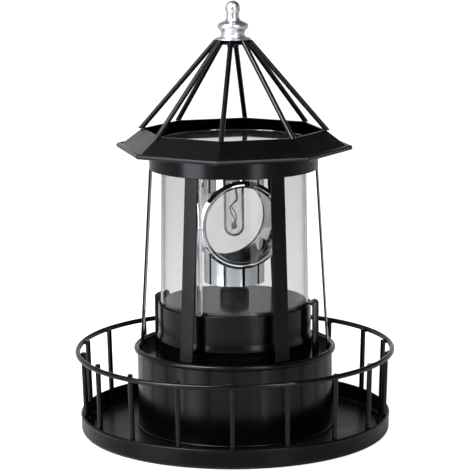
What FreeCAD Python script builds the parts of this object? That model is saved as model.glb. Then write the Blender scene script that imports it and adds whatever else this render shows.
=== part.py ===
import FreeCAD, Part
import Sketcher
import math
import os
import re

# Garden lighthouse ornament: a solar lantern with a turning beacon, on a round gallery tray.
# Millimetres. +Z is up, the front faces -Y, and the origin is on the ground under the axis.

doc = FreeCAD.newDocument("lighthouse")
sizes = doc.addObject("Spreadsheet::Sheet", "sizes")

DRIVING = [
    # sheet steel, round wire and the small gaps that welds and seats leave
    ("gauge", 0.8), ("wire", 3.0), ("weld_gap", 0.02), ("seat_gap", 0.1), ("running_gap", 0.05),
    # tray: dished sheet that stands on its rounded edge
    ("tray_radius", 91.6), ("tray_height", 11.8), ("tray_gauge", 1.0), ("tray_corner", 3.0),
    ("tray_lift", 2.0), ("foot_width", 2.6), ("foot_slope", 1.6), ("tray_hole", 38.0),
    ("hem_height", 1.8), ("hem_round", 1.2),
    # lower drum: rim rolled round a wire, bead at its foot, deck welded in under the rim
    ("drum_radius", 57.7), ("drum_height", 47.0), ("rim_round", 1.6), ("rim_stand", 0.5),
    ("foot_bead", 1.2), ("foot_bead_round", 0.8), ("deck_recess", 5.0),
    ("lead_hole", 4.0), ("lead_hole_y", 19.0),
    # gallery rail on upright rods
    ("rail_overhang", 1.6), ("rail_rise", 45.7), ("baluster_count", 18), ("baluster_over", 1.1),
    ("baluster_angle", -91.0), ("baluster_dome", 0.4),
    # flat posts that splay from the collar to the deck, each a little turned on itself
    ("post_count", 6), ("post_width", 8.8), ("post_gauge", 1.0), ("post_top_inset", 0.9),
    ("post_foot_inset", 1.5), ("post_angle", -60.0), ("post_twist_angle", 6.0),
    # upper drum with its swaged ridge, and the cup inside it that carries tube and motor
    ("upper_radius", 45.2), ("upper_height", 32.1), ("ridge_rise", 11.9), ("ridge_height", 5.6),
    ("ridge_round", 6.8), ("cup_drop", 7.6), ("cup_hole", 5.2),
    # clips that hook over the upper drum
    ("clip_width", 7.0), ("clip_gauge", 1.0), ("clip_stand", 3.9), ("clip_round", 2.3),
    ("clip_angle", -10.0),
    # clear tube and the clear strip along its joint
    ("tube_gap", 0.5), ("tube_taper", 1.5), ("tube_wall", 1.0), ("strip_width", 3.4),
    ("strip_angle", -116.5), ("strip_gap", 0.06),
    # collar, roof deck and sloped eave band
    ("collar_stand", 4.3), ("collar_height", 12.0),
    ("eave_sides", 8), ("eave_angle", -7.3), ("roof_deck_radius", 66.4), ("eave_over", 0.8),
    ("eave_run", 12.9), ("eave_rise", 9.8), ("eave_wall", 1.6), ("eave_bead_over", 0.95),
    ("eave_bead_round", 1.5), ("eave_bead_drop", 0.3),
    # ribs and cap of the open roof
    ("rib_stand", 0.3), ("rib_top_radius", 9.2), ("rib_rise", 52.26), ("cap_height", 2.5),
    # turned finial, each level counted from the one below it
    ("finial_base", 10.6), ("base_edge", 0.45), ("base_slope", 8.1), ("waist_low", 7.4),
    ("waist_high", 6.85), ("belly_low", 8.7), ("belly_high", 8.6), ("belly_round", 1.7), ("shoulder", 4.6),
    ("neck", 3.7), ("ball_round", 4.4), ("slope_rise", 0.5), ("cove_rise", 0.45), ("waist_rise", 2.9),
    ("flare_rise", 2.1), ("belly_rise", 2.35), ("shoulder_rise", 1.85), ("neck_rise", 3.15),
    ("neck_length", 1.53), ("cove_curve", 0.9), ("flare_curve", 3.5), ("neck_curve", 8.5),
    ("screw_round", 1.9), ("screw_head", 3.4), ("screw_head_height", 2.0), ("screw_reach", 8.4),
    ("screw_tip_gap", 0.6), ("screw_clearance", 0.3),
    # solar panel under the ribs
    ("frame_radius", 46.0), ("frame_height", 3.4), ("frame_floor", 1.0), ("frame_lip", 2.3),
    ("panel_height", 1.2), ("cover_height", 1.8),
    # hanging bulb
    ("bulb_radius", 5.8), ("bulb_wall", 0.6), ("bulb_drop", 9.3), ("bulb_base_height", 2.0),
    ("socket_gap", 0.4), ("holder_wall", 2.8), ("holder_height", 13.2), ("holder_roof", 3.2),
    ("holder_gap", 3.05), ("lead_wire", 0.6), ("lead_spread", 1.6), ("diode_radius", 1.5),
    ("diode_height", 3.6), ("diode_rise", 3.0),
    # turning beacon: upright barrel crossed by the lens barrel
    ("beacon_angle", 9.5), ("beacon_gap", 2.05), ("barrel_radius", 17.75), ("barrel_over", 26.15),
    ("housing_wall", 1.4), ("barrel_floor", 2.4), ("lens_rise", 41.45), ("lens_barrel_radius", 23.2),
    ("lens_barrel_half", 20.0), ("hub_radius", 3.6), ("hub_height", 6.5), ("lens_gap", 0.1),
    ("lens_edge", 2.5), ("lens_curve", 55.0), ("lens_recess", 0.4), ("bezel_over", 1.0),
    ("bezel_lip", 2.4), ("bezel_depth", 2.6), ("bezel_round", 0.9),
    # gear motor and its boss
    ("shaft_radius", 1.25), ("shaft_gap", 0.2), ("boss_radius", 8.6), ("boss_height", 13.8),
    ("boss_chamfer", 1.6), ("motor_radius", 22.0), ("motor_height", 15.0), ("motor_bore", 6.7),
    ("ear_reach", 30.0), ("ear_width", 8.0), ("ear_height", 2.0), ("ear_bolt", 26.5),
    ("small_screw", 1.2), ("small_head", 2.6), ("small_head_height", 1.3),
    # base pan with its battery bay, door, switch and circuit board
    ("flange_width", 6.0), ("flange_height", 1.5), ("pan_screw_count", 4), ("pan_screw_angle", 45.0),
    ("pan_plug_gap", 0.5), ("bay_wall", 1.5), ("bay_gap", 0.5), ("bay_y", 2.0), ("cell_radius", 7.1),
    ("cell_length", 50.0), ("door_height", 1.6), ("door_ledge", 2.5), ("door_gap", 0.3),
    ("hinge_pin", 0.5), ("pin_reach", 1.2),
    ("contact_gauge", 0.6), ("nub_width", 3.0), ("nub_proud", 1.1), ("nub_travel", 4.0),
    ("nub_y", -23.0), ("nub_gap", 0.2), ("switch_length", 12.0), ("switch_width", 5.0),
    ("switch_height", 5.0), ("board_length", 40.0), ("board_width", 16.0), ("board_gauge", 1.6),
    ("board_y", 23.0), ("pillar_radius", 2.5), ("pillar_height", 8.0), ("pillar_x", 15.0),
    ("motor_lead", 1.2), ("motor_lead_spread", 2.0),
]
for row, (alias, number) in enumerate(DRIVING, start=1):
    sizes.set(f"A{row}", alias)
    sizes.set(f"B{row}", str(number))
    sizes.setAlias(f"B{row}", alias)
doc.recompute()
ALIASES = {alias for alias, number in DRIVING}


def bound(text):
    """The same expression as another object writes it, with each alias read from the sheet."""
    return re.sub(r"[a-z_]+", lambda word: "sizes." + word.group() if word.group() in ALIASES
                  else word.group(), str(text))


def value(text):
    """What an expression of the sheet's aliases comes to now."""
    return float(sizes.evalExpression(str(text)))


def bind(thing, **properties):
    for name, text in properties.items():
        thing.setExpression(name, bound(text))
    return thing


pieces = []


def piece(thing, label, placement=None):
    """Name a finished sub-part and seat it."""
    thing.Label = label
    if placement is not None:
        thing.Placement = placement
    pieces.append(thing)
    return thing


def about_z(degrees, base=(0, 0, 0)):
    return FreeCAD.Placement(FreeCAD.Vector(*base), FreeCAD.Rotation(FreeCAD.Vector(0, 0, 1), degrees))


# Levels and radii that several pieces share, from the ground up.
FLOOR_TOP = "(tray_lift + tray_gauge)"
RIM_LEVEL = f"({FLOOR_TOP} + drum_height)"
DECK_TOP = f"({RIM_LEVEL} - deck_recess)"
UPPER_TOP = f"({DECK_TOP} + upper_height)"
CUP_TOP = f"({UPPER_TOP} - cup_drop)"
CUP_RADIUS = "(upper_radius - gauge - seat_gap)"
BARREL_FOOT = f"({CUP_TOP} + boss_height + beacon_gap)"
LENS_LEVEL = f"({BARREL_FOOT} + lens_rise)"
BARREL_TOP = f"({LENS_LEVEL} + barrel_over)"
HOLDER_FOOT = f"({BARREL_TOP} + holder_gap)"
COLLAR_TOP = f"({HOLDER_FOOT} + holder_height)"
COLLAR_FOOT = f"({COLLAR_TOP} - collar_height)"
ROOF_TOP = f"({COLLAR_TOP} + gauge)"
EAVE_TOP = f"({ROOF_TOP} + eave_rise)"
CAP_TOP = f"({EAVE_TOP} + 2 * weld_gap + rib_rise)"
CAP_FOOT = f"({CAP_TOP} - cap_height)"


# ---- Makers ----

def pin(sketch, edge, point, x, y):
    """Hold one point of a sketch at a bound (x, y), or on the axis where a coordinate is 0."""
    for kind, text, axis in (("DistanceX", x, -2), ("DistanceY", y, -1)):
        if text == "0":
            sketch.addConstraint(Sketcher.Constraint("PointOnObject", edge, point, axis))
        else:
            held = sketch.addConstraint(Sketcher.Constraint(kind, -1, 1, edge, point, value(text)))
            sketch.setExpression(f"Constraints[{held}]", bound(text))


def size_round(sketch, edge, radius):
    held = sketch.addConstraint(Sketcher.Constraint("Radius", edge, value(radius)))
    sketch.setExpression(f"Constraints[{held}]", bound(radius))


def over(outer, inner, level, radius, side="left"):
    """Two corners that carry a profile over the top, from outer to inner, in one half round."""
    return [(f"(({outer}) + ({inner})) / 2", f"{level} + {radius}", radius, side),
            (inner, level, radius, side)]


def outline(sketch, corners):
    """Close a profile through its corners, each held at a bound (x, y).
    A corner with a third and fourth item is reached by an arc of that radius, turning left or right."""
    spots = [FreeCAD.Vector(value(corner[0]), value(corner[1]), 0) for corner in corners]
    count = len(corners)
    edges = []
    for index in range(count):
        start = spots[index]
        end = spots[(index + 1) % count]
        arriving = corners[(index + 1) % count]
        if len(arriving) > 2:
            radius = value(arriving[2])
            half = (end - start).Length / 2
            rise = radius - math.sqrt(max(radius * radius - half * half, 0.0))
            along = (end - start).normalize()
            side = FreeCAD.Vector(along.y, -along.x, 0)
            if arriving[3] == "right":
                side = side * -1
            middle = (start + end) * 0.5 + side * rise
            edges.append(sketch.addGeometry(Part.Arc(start, middle, end), False))
        else:
            edges.append(sketch.addGeometry(Part.LineSegment(start, end), False))

    def ends(index):
        first = sketch.getPoint(edges[index], 1)
        return (1, 2) if (first - spots[index]).Length < 1e-6 else (2, 1)

    for index, corner in enumerate(corners):
        before = (index - 1) % count
        here = ends(index)[0]
        sketch.addConstraint(Sketcher.Constraint("Coincident", edges[before], ends(before)[1],
                                                 edges[index], here))
        pin(sketch, edges[index], here, corner[0], corner[1])
        if len(corner) > 2:
            size_round(sketch, edges[before], corner[2])


def plane_of(body, role):
    return next(part for part in body.Origin.OriginFeatures if part.Role == role)


def sketch_on(body, role, name):
    sketch = body.newObject("Sketcher::SketchObject", name)
    sketch.AttachmentSupport = [(plane_of(body, role), "")]
    sketch.MapMode = "FlatFace"
    return sketch


def new_body(name):
    return doc.addObject("PartDesign::Body", name)


def turned(name, corners):
    """A body turned about Z from a half profile of (radius, height) corners."""
    body = new_body(name)
    sketch = sketch_on(body, "XZ_Plane", name + "_profile")
    outline(sketch, corners)
    turn = body.newObject("PartDesign::Revolution", name + "_turn")
    turn.Profile = sketch
    turn.ReferenceAxis = (sketch, ["V_Axis"])
    turn.Angle = 360
    return body


def ring(name, inner, outer, low, high):
    """A flat ring, or a plain disc where inner is 0."""
    return turned(name, [(inner, low), (outer, low), (outer, high), (inner, high)])


def strip(name, corners, width):
    """A strip bent from sheet: its side profile in XZ, padded evenly to both sides."""
    body = new_body(name)
    sketch = sketch_on(body, "XZ_Plane", name + "_profile")
    outline(sketch, corners)
    pad = body.newObject("PartDesign::Pad", name + "_pad")
    pad.Profile = sketch
    pad.Midplane = True
    bind(pad, Length=width)
    return body


def drill(body, name, spots, radius, low, high):
    """Round holes through a body, each from its low level up to its high one."""
    sketch = sketch_on(body, "XY_Plane", name)
    bind(sketch, **{"AttachmentOffset.Base.z": high})
    for x, y in spots:
        circle = sketch.addGeometry(Part.Circle(FreeCAD.Vector(value(x), value(y), 0),
                                                FreeCAD.Vector(0, 0, 1), value(radius)), False)
        size_round(sketch, circle, radius)
        pin(sketch, circle, 3, x, y)
    doc.recompute()
    before = body.Shape.Volume
    pocket = body.newObject("PartDesign::Pocket", name + "_cut")
    pocket.Profile = sketch
    bind(pocket, Length=f"({high}) - ({low})")
    doc.recompute()
    if body.Shape.Volume > before - 0.01:
        raise ValueError(name + " cuts nothing")


def upright(name, radius, low, height, x="0", y="0"):
    """An upright cylinder primitive."""
    solid = doc.addObject("Part::Cylinder", name)
    return bind(solid, Radius=radius, Height=height, **{"Placement.Base.x": x, "Placement.Base.y": y,
                                                        "Placement.Base.z": low})


def block(name, x, y, z, length, width, height):
    """A box primitive centred on x and y, standing on z."""
    solid = doc.addObject("Part::Box", name)
    return bind(solid, Length=length, Width=width, Height=height,
                **{"Placement.Base.x": f"{x} - ({length}) / 2", "Placement.Base.y": f"{y} - ({width}) / 2",
                   "Placement.Base.z": z})


def fused(name, solids):
    joined = doc.addObject("Part::MultiFuse", name)
    joined.Shapes = solids
    return joined


def cut(name, base, tool):
    remainder = doc.addObject("Part::Cut", name)
    remainder.Base = base
    remainder.Tool = tool
    return remainder


def together(name, solids):
    """Separate solids that share one node, such as like fasteners."""
    group = doc.addObject("Part::Compound", name)
    group.Links = solids
    return group


def around(count, start, radius):
    """Bound (x, y) pairs evenly spaced on a circle."""
    bearings = [f"({start} + {index} * 360 / {count})" for index in range(round(value(count)))]
    return [(f"({radius}) * cos({bearing})", f"({radius}) * sin({bearing})") for bearing in bearings]


# ---- Gallery tray, lower drum and rail ----

PAN_SPOTS = around("pan_screw_count", "pan_screw_angle", "tray_hole + flange_width / 2")
CORNER_FOOT = "(tray_radius - tray_corner)"

tray = turned("tray", [
    ("tray_hole", "tray_lift"),
    (f"{CORNER_FOOT} - foot_width - foot_slope", "tray_lift"),
    (f"{CORNER_FOOT} - foot_width", "0"),
    (CORNER_FOOT, "0"),
    ("tray_radius", "tray_corner", "tray_corner", "left"),
    ("tray_radius", "tray_height - hem_height"),
    ("tray_radius", "tray_height", "hem_round", "left"),
    ("tray_radius - tray_gauge", "tray_height"),
    ("tray_radius - tray_gauge", "tray_corner"),
    (CORNER_FOOT, "tray_gauge", "tray_corner - tray_gauge", "right"),
    (f"{CORNER_FOOT} - foot_width", "tray_gauge"),
    (f"{CORNER_FOOT} - foot_width - foot_slope", FLOOR_TOP),
    ("tray_hole", FLOOR_TOP),
])
drill(tray, "tray_screw_holes", PAN_SPOTS, "small_screw + screw_clearance", "tray_lift", FLOOR_TOP)
piece(tray, "tray")

INNER_WALL = "(drum_radius - gauge)"
RIM_CENTRE = "(drum_radius + rim_stand)"
drum_shell = turned("drum_shell", [
    (INNER_WALL, FLOOR_TOP),
    ("drum_radius", FLOOR_TOP),
    ("drum_radius", f"{FLOOR_TOP} + foot_bead", "foot_bead_round", "left"),
    ("drum_radius", f"{RIM_LEVEL} - sqrt(rim_round ^ 2 - rim_stand ^ 2)"),
    (f"{RIM_CENTRE} + rim_round", RIM_LEVEL, "rim_round", "left"),
]
    + over(f"{RIM_CENTRE} + rim_round", f"{RIM_CENTRE} - rim_round", RIM_LEVEL, "rim_round")
    + [(INNER_WALL, f"{RIM_LEVEL} - sqrt(rim_round ^ 2 - (rim_stand + gauge) ^ 2)", "rim_round", "left")])
piece(drum_shell, "drum_shell")

deck = ring("drum_deck", "0", f"{INNER_WALL} - weld_gap", f"{DECK_TOP} - gauge", DECK_TOP)
drill(deck, "deck_lead_hole", [("0", "lead_hole_y")], "lead_hole", f"{DECK_TOP} - gauge", DECK_TOP)
piece(deck, "drum_deck")

RAIL_RADIUS = "(tray_radius + rail_overhang)"
RAIL_LEVEL = f"({FLOOR_TOP} + rail_rise)"
rail = doc.addObject("Part::Torus", "rail_ring")
bind(rail, Radius1=RAIL_RADIUS, Radius2="wire / 2", **{"Placement.Base.z": RAIL_LEVEL})
piece(rail, "rail_ring")

# Each rod leans out from the top of the tray's wall to the rail, welded to the inside of both.
ROD_AT_WALL = "(tray_radius - tray_gauge - wire / 2 - 1.5 * weld_gap)"
ROD_AT_RAIL = f"({RAIL_RADIUS} - wire - weld_gap)"
ROD_SLOPE = f"(({ROD_AT_RAIL} - {ROD_AT_WALL}) / ({RAIL_LEVEL} - tray_height))"
ROD_LENGTH = f"(({RAIL_LEVEL} + baluster_over - tray_corner) * sqrt(1 + {ROD_SLOPE} ^ 2))"
rod_foot = FreeCAD.Vector(value(f"{ROD_AT_WALL} - {ROD_SLOPE} * (tray_height - tray_corner)"), 0,
                          value("tray_corner"))
rod_lean = FreeCAD.Rotation(FreeCAD.Vector(0, 0, 1), FreeCAD.Vector(value(ROD_SLOPE), 0, 1))
rods = []
for index in range(round(value("baluster_count"))):
    rod = turned(f"baluster_{index + 1}", [
        ("0", "0"), ("wire / 2", "0"), ("wire / 2", f"{ROD_LENGTH} - baluster_dome"),
        ("wire / 2 - baluster_dome", ROD_LENGTH, "baluster_dome", "left"), ("0", ROD_LENGTH)])
    bearing = value("baluster_angle") + index * 360 / value("baluster_count")
    rod.Placement = about_z(bearing).multiply(FreeCAD.Placement(rod_foot, rod_lean))
    rods.append(rod)
piece(together("balusters", rods), "balusters")

# ---- Cage: splayed posts, collar and clips ----

HALF_POST = "post_gauge / 2"
POST_FOOT = f"({INNER_WALL} - post_foot_inset)"
COLLAR_RADIUS = "(upper_radius + collar_stand)"
POST_TOP = f"({COLLAR_RADIUS} - post_top_inset)"
for index in range(round(value("post_count"))):
    post = strip(f"post_{index + 1}", [
        (f"{POST_FOOT} - {HALF_POST}", f"{DECK_TOP} + weld_gap"),
        (f"{POST_FOOT} + {HALF_POST}", f"{DECK_TOP} + weld_gap"),
        (f"{POST_TOP} + {HALF_POST}", f"{COLLAR_FOOT} - weld_gap"),
        (f"{POST_TOP} - {HALF_POST}", f"{COLLAR_FOOT} - weld_gap"),
    ], "post_width")
    bearing = value("post_angle") + index * 360 / value("post_count")
    middle = value(f"({POST_FOOT} + {POST_TOP}) / 2")
    own_turn = FreeCAD.Placement(FreeCAD.Vector(0, 0, 0),
                                 FreeCAD.Rotation(FreeCAD.Vector(0, 0, 1), -value("post_twist_angle")),
                                 FreeCAD.Vector(middle, 0, 0))
    piece(post, f"post_{index + 1}", about_z(bearing).multiply(own_turn))

piece(ring("collar", f"{COLLAR_RADIUS} - gauge", COLLAR_RADIUS, COLLAR_FOOT, COLLAR_TOP), "collar")

CLIP_RADIUS = "(upper_radius + clip_stand)"
CLIP_BEND = f"({CLIP_RADIUS} - clip_round)"
CLIP_TOP = f"({UPPER_TOP} + clip_round / 2)"
CLIP_INNER = "(clip_round - clip_gauge)"
for index, label in enumerate(("clip_right", "clip_left")):
    clip = strip(label, [
        (f"{CLIP_RADIUS} - clip_gauge", f"{DECK_TOP} + weld_gap"),
        (CLIP_RADIUS, f"{DECK_TOP} + weld_gap"),
        (CLIP_RADIUS, CLIP_TOP),
    ] + over(CLIP_RADIUS, f"{CLIP_BEND} - clip_round", CLIP_TOP, "clip_round") + [
        (f"{CLIP_BEND} - clip_round", f"{UPPER_TOP} + weld_gap"),
        (f"{CLIP_BEND} - {CLIP_INNER}", f"{UPPER_TOP} + weld_gap"),
        (f"{CLIP_BEND} - {CLIP_INNER}", CLIP_TOP),
    ] + over(f"{CLIP_BEND} - {CLIP_INNER}", f"{CLIP_RADIUS} - clip_gauge", CLIP_TOP, CLIP_INNER, "right"),
        "clip_width")
    piece(clip, label, about_z(value("clip_angle") + 180 * index))

# ---- Upper drum, its inner cup, the clear tube and its joint strip ----

RIDGE_LEVEL = f"({DECK_TOP} + ridge_rise)"
upper_drum = turned("upper_drum", [
    ("upper_radius - gauge", DECK_TOP),
    ("upper_radius", DECK_TOP),
    ("upper_radius", f"{RIDGE_LEVEL} - ridge_height / 2"),
    ("upper_radius", f"{RIDGE_LEVEL} + ridge_height / 2", "ridge_round", "left"),
    ("upper_radius", f"{UPPER_TOP} - gauge / 2"),
] + over("upper_radius", "upper_radius - gauge", f"{UPPER_TOP} - gauge / 2", "gauge / 2") + [
    ("upper_radius - gauge", f"{RIDGE_LEVEL} + ridge_height / 2"),
    ("upper_radius - gauge", f"{RIDGE_LEVEL} - ridge_height / 2", "ridge_round", "right"),
])
piece(upper_drum, "upper_drum")

EAR_SPOTS = [("ear_bolt", "0"), ("-ear_bolt", "0")]
cup = turned("motor_cup", [
    (f"{CUP_RADIUS} - gauge", DECK_TOP),
    (CUP_RADIUS, DECK_TOP),
    (CUP_RADIUS, CUP_TOP),
    ("cup_hole", CUP_TOP),
    ("cup_hole", f"{CUP_TOP} - gauge"),
    (f"{CUP_RADIUS} - gauge", f"{CUP_TOP} - gauge"),
])
drill(cup, "cup_screw_holes", EAR_SPOTS, "small_screw + weld_gap", f"{CUP_TOP} - gauge", CUP_TOP)
piece(cup, "motor_cup")

TUBE_TOP = f"({COLLAR_TOP} - seat_gap)"
TUBE_FOOT_RADIUS = "(upper_radius - gauge - tube_gap)"
TUBE_TOP_RADIUS = f"({TUBE_FOOT_RADIUS} - tube_taper)"
piece(turned("clear_tube", [
    (f"{TUBE_FOOT_RADIUS} - tube_wall", CUP_TOP),
    (TUBE_FOOT_RADIUS, CUP_TOP),
    (TUBE_TOP_RADIUS, TUBE_TOP),
    (f"{TUBE_TOP_RADIUS} - tube_wall", TUBE_TOP),
]), "clear_tube")

# The strip follows the tube's taper, so it is an upright round drawn along a leaning line.
STRIP_FOOT = f"({UPPER_TOP} + weld_gap)"
TUBE_SLOPE = f"(tube_taper / ({TUBE_TOP} - {CUP_TOP}))"
STRIP_RADIUS = (f"({TUBE_FOOT_RADIUS} - {TUBE_SLOPE} * ({STRIP_FOOT} - {CUP_TOP})"
                " + strip_gap + strip_width / 2)")
STRIP_RISE = f"({TUBE_TOP} - {STRIP_FOOT})"
strip_round = bind(doc.addObject("Part::Circle", "strip_round"), Radius="strip_width / 2",
                   **{"Placement.Base.x": STRIP_RADIUS, "Placement.Base.z": STRIP_FOOT})
joint_strip = doc.addObject("Part::Extrusion", "joint_strip")
joint_strip.Base = strip_round
joint_strip.DirMode = "Custom"
joint_strip.Solid = True
bind(joint_strip, LengthFwd=f"sqrt(1 + {TUBE_SLOPE} ^ 2) * {STRIP_RISE}",
     **{"Dir.x": f"-{TUBE_SLOPE}", "Dir.z": "1"})
piece(joint_strip, "joint_strip", about_z(value("strip_angle")))

# ---- Roof: deck, eave band with its rolled bead, ribs, cap and finial ----

roof_plate = bind(doc.addObject("Part::Prism", "roof_plate"), Polygon="eave_sides",
                  Circumradius="roof_deck_radius", Height="gauge", **{"Placement.Base.z": COLLAR_TOP})
roof_hole = upright("roof_hole", "small_screw", COLLAR_TOP, "gauge")
piece(cut("roof_deck", roof_plate, roof_hole), "roof_deck", about_z(value("eave_angle")))


def octagon(name, radius, level):
    sides = doc.addObject("Part::RegularPolygon", name)
    return bind(sides, Polygon="eave_sides", Circumradius=radius, **{"Placement.Base.z": level})


def frustum(name, foot_radius, foot, top_radius, top):
    loft = doc.addObject("Part::Loft", name)
    loft.Sections = [octagon(name + "_foot", foot_radius, foot), octagon(name + "_top", top_radius, top)]
    loft.Solid = True
    loft.Ruled = True
    return loft


EAVE_FOOT_RADIUS = "(roof_deck_radius + eave_over)"
EAVE_TOP_RADIUS = f"({EAVE_FOOT_RADIUS} - eave_run)"
band_outer = frustum("band_outer", EAVE_FOOT_RADIUS, ROOF_TOP, EAVE_TOP_RADIUS, EAVE_TOP)
band_inner = frustum("band_inner", f"{EAVE_FOOT_RADIUS} - eave_wall", ROOF_TOP,
                     f"{EAVE_TOP_RADIUS} - eave_wall", EAVE_TOP)
bead_path = octagon("bead_path", f"{EAVE_FOOT_RADIUS} + eave_bead_over", f"{ROOF_TOP} - eave_bead_drop")
doc.recompute()
bead_round = bind(doc.addObject("Part::Circle", "bead_round"), Radius="eave_bead_round")
first, second = [corner.Point for corner in bead_path.Shape.Edges[0].Vertexes]
bead_round.Placement = FreeCAD.Placement(first, FreeCAD.Rotation(FreeCAD.Vector(0, 0, 1), second - first))
bead = doc.addObject("Part::Sweep", "eave_bead")
bead.Sections = [bead_round]
bead.Spine = (bead_path, [f"Edge{side + 1}" for side in range(round(value("eave_sides")))])
bead.Solid = True
bead.Transition = "Right corner"
eave = fused("eave_band", [cut("band_shell", band_outer, band_inner), bead])
piece(eave, "eave_band", about_z(value("eave_angle")))

# Each rib is a leaning round wire cut level at both ends, so its section in plan is an ellipse.
RIB_FOOT_RADIUS = f"({EAVE_TOP_RADIUS} + rib_stand)"
RIB_RUN = f"({RIB_FOOT_RADIUS} - rib_top_radius)"
RIB_LENGTH = f"sqrt({RIB_RUN} ^ 2 + rib_rise ^ 2)"
RIB_REACH = f"(wire / 2 * {RIB_LENGTH} / rib_rise)"
for index in range(round(value("eave_sides"))):
    rib_round = bind(doc.addObject("Part::Ellipse", f"rib_round_{index + 1}"),
                     MajorRadius=RIB_REACH, MinorRadius="wire / 2",
                     **{"Placement.Base.x": RIB_FOOT_RADIUS, "Placement.Base.z": f"{EAVE_TOP} + weld_gap"})
    rib = doc.addObject("Part::Extrusion", f"rib_{index + 1}")
    rib.Base = rib_round
    rib.DirMode = "Custom"
    rib.Solid = True
    bind(rib, LengthFwd=RIB_LENGTH, **{"Dir.x": f"-{RIB_RUN}", "Dir.z": "rib_rise"})
    piece(rib, f"rib_{index + 1}", about_z(value("eave_angle") + index * 360 / value("eave_sides")))

# The cap is a low cone inside the ring of ribs, whose ends are welded round it.
CAP_HOLE = "(screw_round + screw_clearance)"
CAP_TOP_RADIUS = f"(rib_top_radius - {RIB_REACH} - 2 * weld_gap)"
piece(turned("top_cap", [
    (CAP_HOLE, CAP_FOOT),
    (f"{CAP_TOP_RADIUS} + cap_height * {RIB_RUN} / rib_rise", CAP_FOOT),
    (CAP_TOP_RADIUS, CAP_TOP),
    (CAP_HOLE, CAP_TOP),
]), "top_cap")

BASE_TOP = f"({CAP_TOP} + 2 * base_edge)"
COVE_FOOT = f"({BASE_TOP} + slope_rise)"
WAIST_FOOT = f"({COVE_FOOT} + cove_rise)"
WAIST_TOP = f"({WAIST_FOOT} + waist_rise)"
BELLY_FOOT = f"({WAIST_TOP} + flare_rise)"
BELLY_TOP = f"({BELLY_FOOT} + belly_rise)"
SHOULDER_TOP = f"({BELLY_TOP} + shoulder_rise)"
NECK_FOOT = f"({SHOULDER_TOP} + neck_rise)"
NECK_TOP = f"({NECK_FOOT} + neck_length)"
BALL_LEVEL = f"({NECK_TOP} + sqrt(ball_round ^ 2 - neck ^ 2))"
FINIAL_BORE_TOP = f"({CAP_TOP} + screw_reach + screw_tip_gap)"
finial = turned("finial", [
    (CAP_HOLE, CAP_TOP),
    ("finial_base - base_edge", CAP_TOP),
    ("finial_base", f"{CAP_TOP} + base_edge", "base_edge", "left"),
    ("finial_base - base_edge", BASE_TOP, "base_edge", "left"),
    ("base_slope", COVE_FOOT),
    ("waist_low", WAIST_FOOT, "cove_curve", "right"),
    ("waist_high", WAIST_TOP),
    ("belly_low", BELLY_FOOT, "flare_curve", "right"),
    ("belly_high", BELLY_TOP, "belly_round", "left"),
    ("shoulder", SHOULDER_TOP),
    ("neck", NECK_FOOT, "neck_curve", "right"),
    ("neck", NECK_TOP),
    ("ball_round", BALL_LEVEL, "ball_round", "left"),
    ("0", f"{BALL_LEVEL} + ball_round", "ball_round", "left"),
    ("0", FINIAL_BORE_TOP),
    (CAP_HOLE, FINIAL_BORE_TOP),
])
piece(finial, "finial")
piece(turned("finial_screw", [
    ("0", f"{CAP_FOOT} - screw_head_height"),
    ("screw_head - base_edge", f"{CAP_FOOT} - screw_head_height"),
    ("screw_head", f"{CAP_FOOT} - screw_head_height + base_edge", "base_edge", "left"),
    ("screw_head", CAP_FOOT),
    ("screw_round", CAP_FOOT),
    ("screw_round", f"{CAP_TOP} + screw_reach"),
    ("0", f"{CAP_TOP} + screw_reach"),
]), "finial_screw")

# ---- Solar panel on the roof deck ----

PANEL_RADIUS = "(frame_radius - frame_lip - seat_gap)"
piece(turned("panel_frame", [
    ("0", ROOF_TOP),
    ("frame_radius", ROOF_TOP),
    ("frame_radius", f"{ROOF_TOP} + frame_height"),
    ("frame_radius - frame_lip", f"{ROOF_TOP} + frame_height"),
    ("frame_radius - frame_lip", f"{ROOF_TOP} + frame_floor"),
    ("0", f"{ROOF_TOP} + frame_floor"),
]), "panel_frame")
PANEL_FOOT = f"({ROOF_TOP} + frame_floor)"
piece(ring("solar_panel", "0", PANEL_RADIUS, PANEL_FOOT, f"{PANEL_FOOT} + panel_height"), "solar_panel")
piece(ring("panel_cover", "0", PANEL_RADIUS, f"{PANEL_FOOT} + panel_height",
           f"{PANEL_FOOT} + panel_height + cover_height"), "panel_cover")

# ---- Bulb hanging from the roof deck into the beacon ----

SOCKET_RADIUS = "(bulb_radius + socket_gap)"
HOLDER_RADIUS = f"({SOCKET_RADIUS} + holder_wall)"
SOCKET_TOP = f"({COLLAR_TOP} - holder_roof)"
piece(turned("bulb_holder", [
    (SOCKET_RADIUS, HOLDER_FOOT),
    (HOLDER_RADIUS, HOLDER_FOOT),
    (HOLDER_RADIUS, COLLAR_TOP),
    ("0", COLLAR_TOP),
    ("0", SOCKET_TOP),
    (SOCKET_RADIUS, SOCKET_TOP),
]), "bulb_holder")
BASE_FOOT = f"({SOCKET_TOP} - bulb_base_height)"
piece(ring("bulb_base", "0", "bulb_radius", BASE_FOOT, SOCKET_TOP), "bulb_base")
BULB_TIP = f"({LENS_LEVEL} - bulb_drop)"
BULB_DOME = f"({BULB_TIP} + bulb_radius)"
piece(turned("bulb_glass", [
    ("0", BULB_TIP),
    ("bulb_radius", BULB_DOME, "bulb_radius", "left"),
    ("bulb_radius", f"{BASE_FOOT} - weld_gap"),
    ("bulb_radius - bulb_wall", f"{BASE_FOOT} - weld_gap"),
    ("bulb_radius - bulb_wall", BULB_DOME),
    ("0", f"{BULB_TIP} + bulb_wall", "bulb_radius - bulb_wall", "right"),
]), "bulb_glass")
DIODE_FOOT = f"({BULB_TIP} + diode_rise)"
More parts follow.
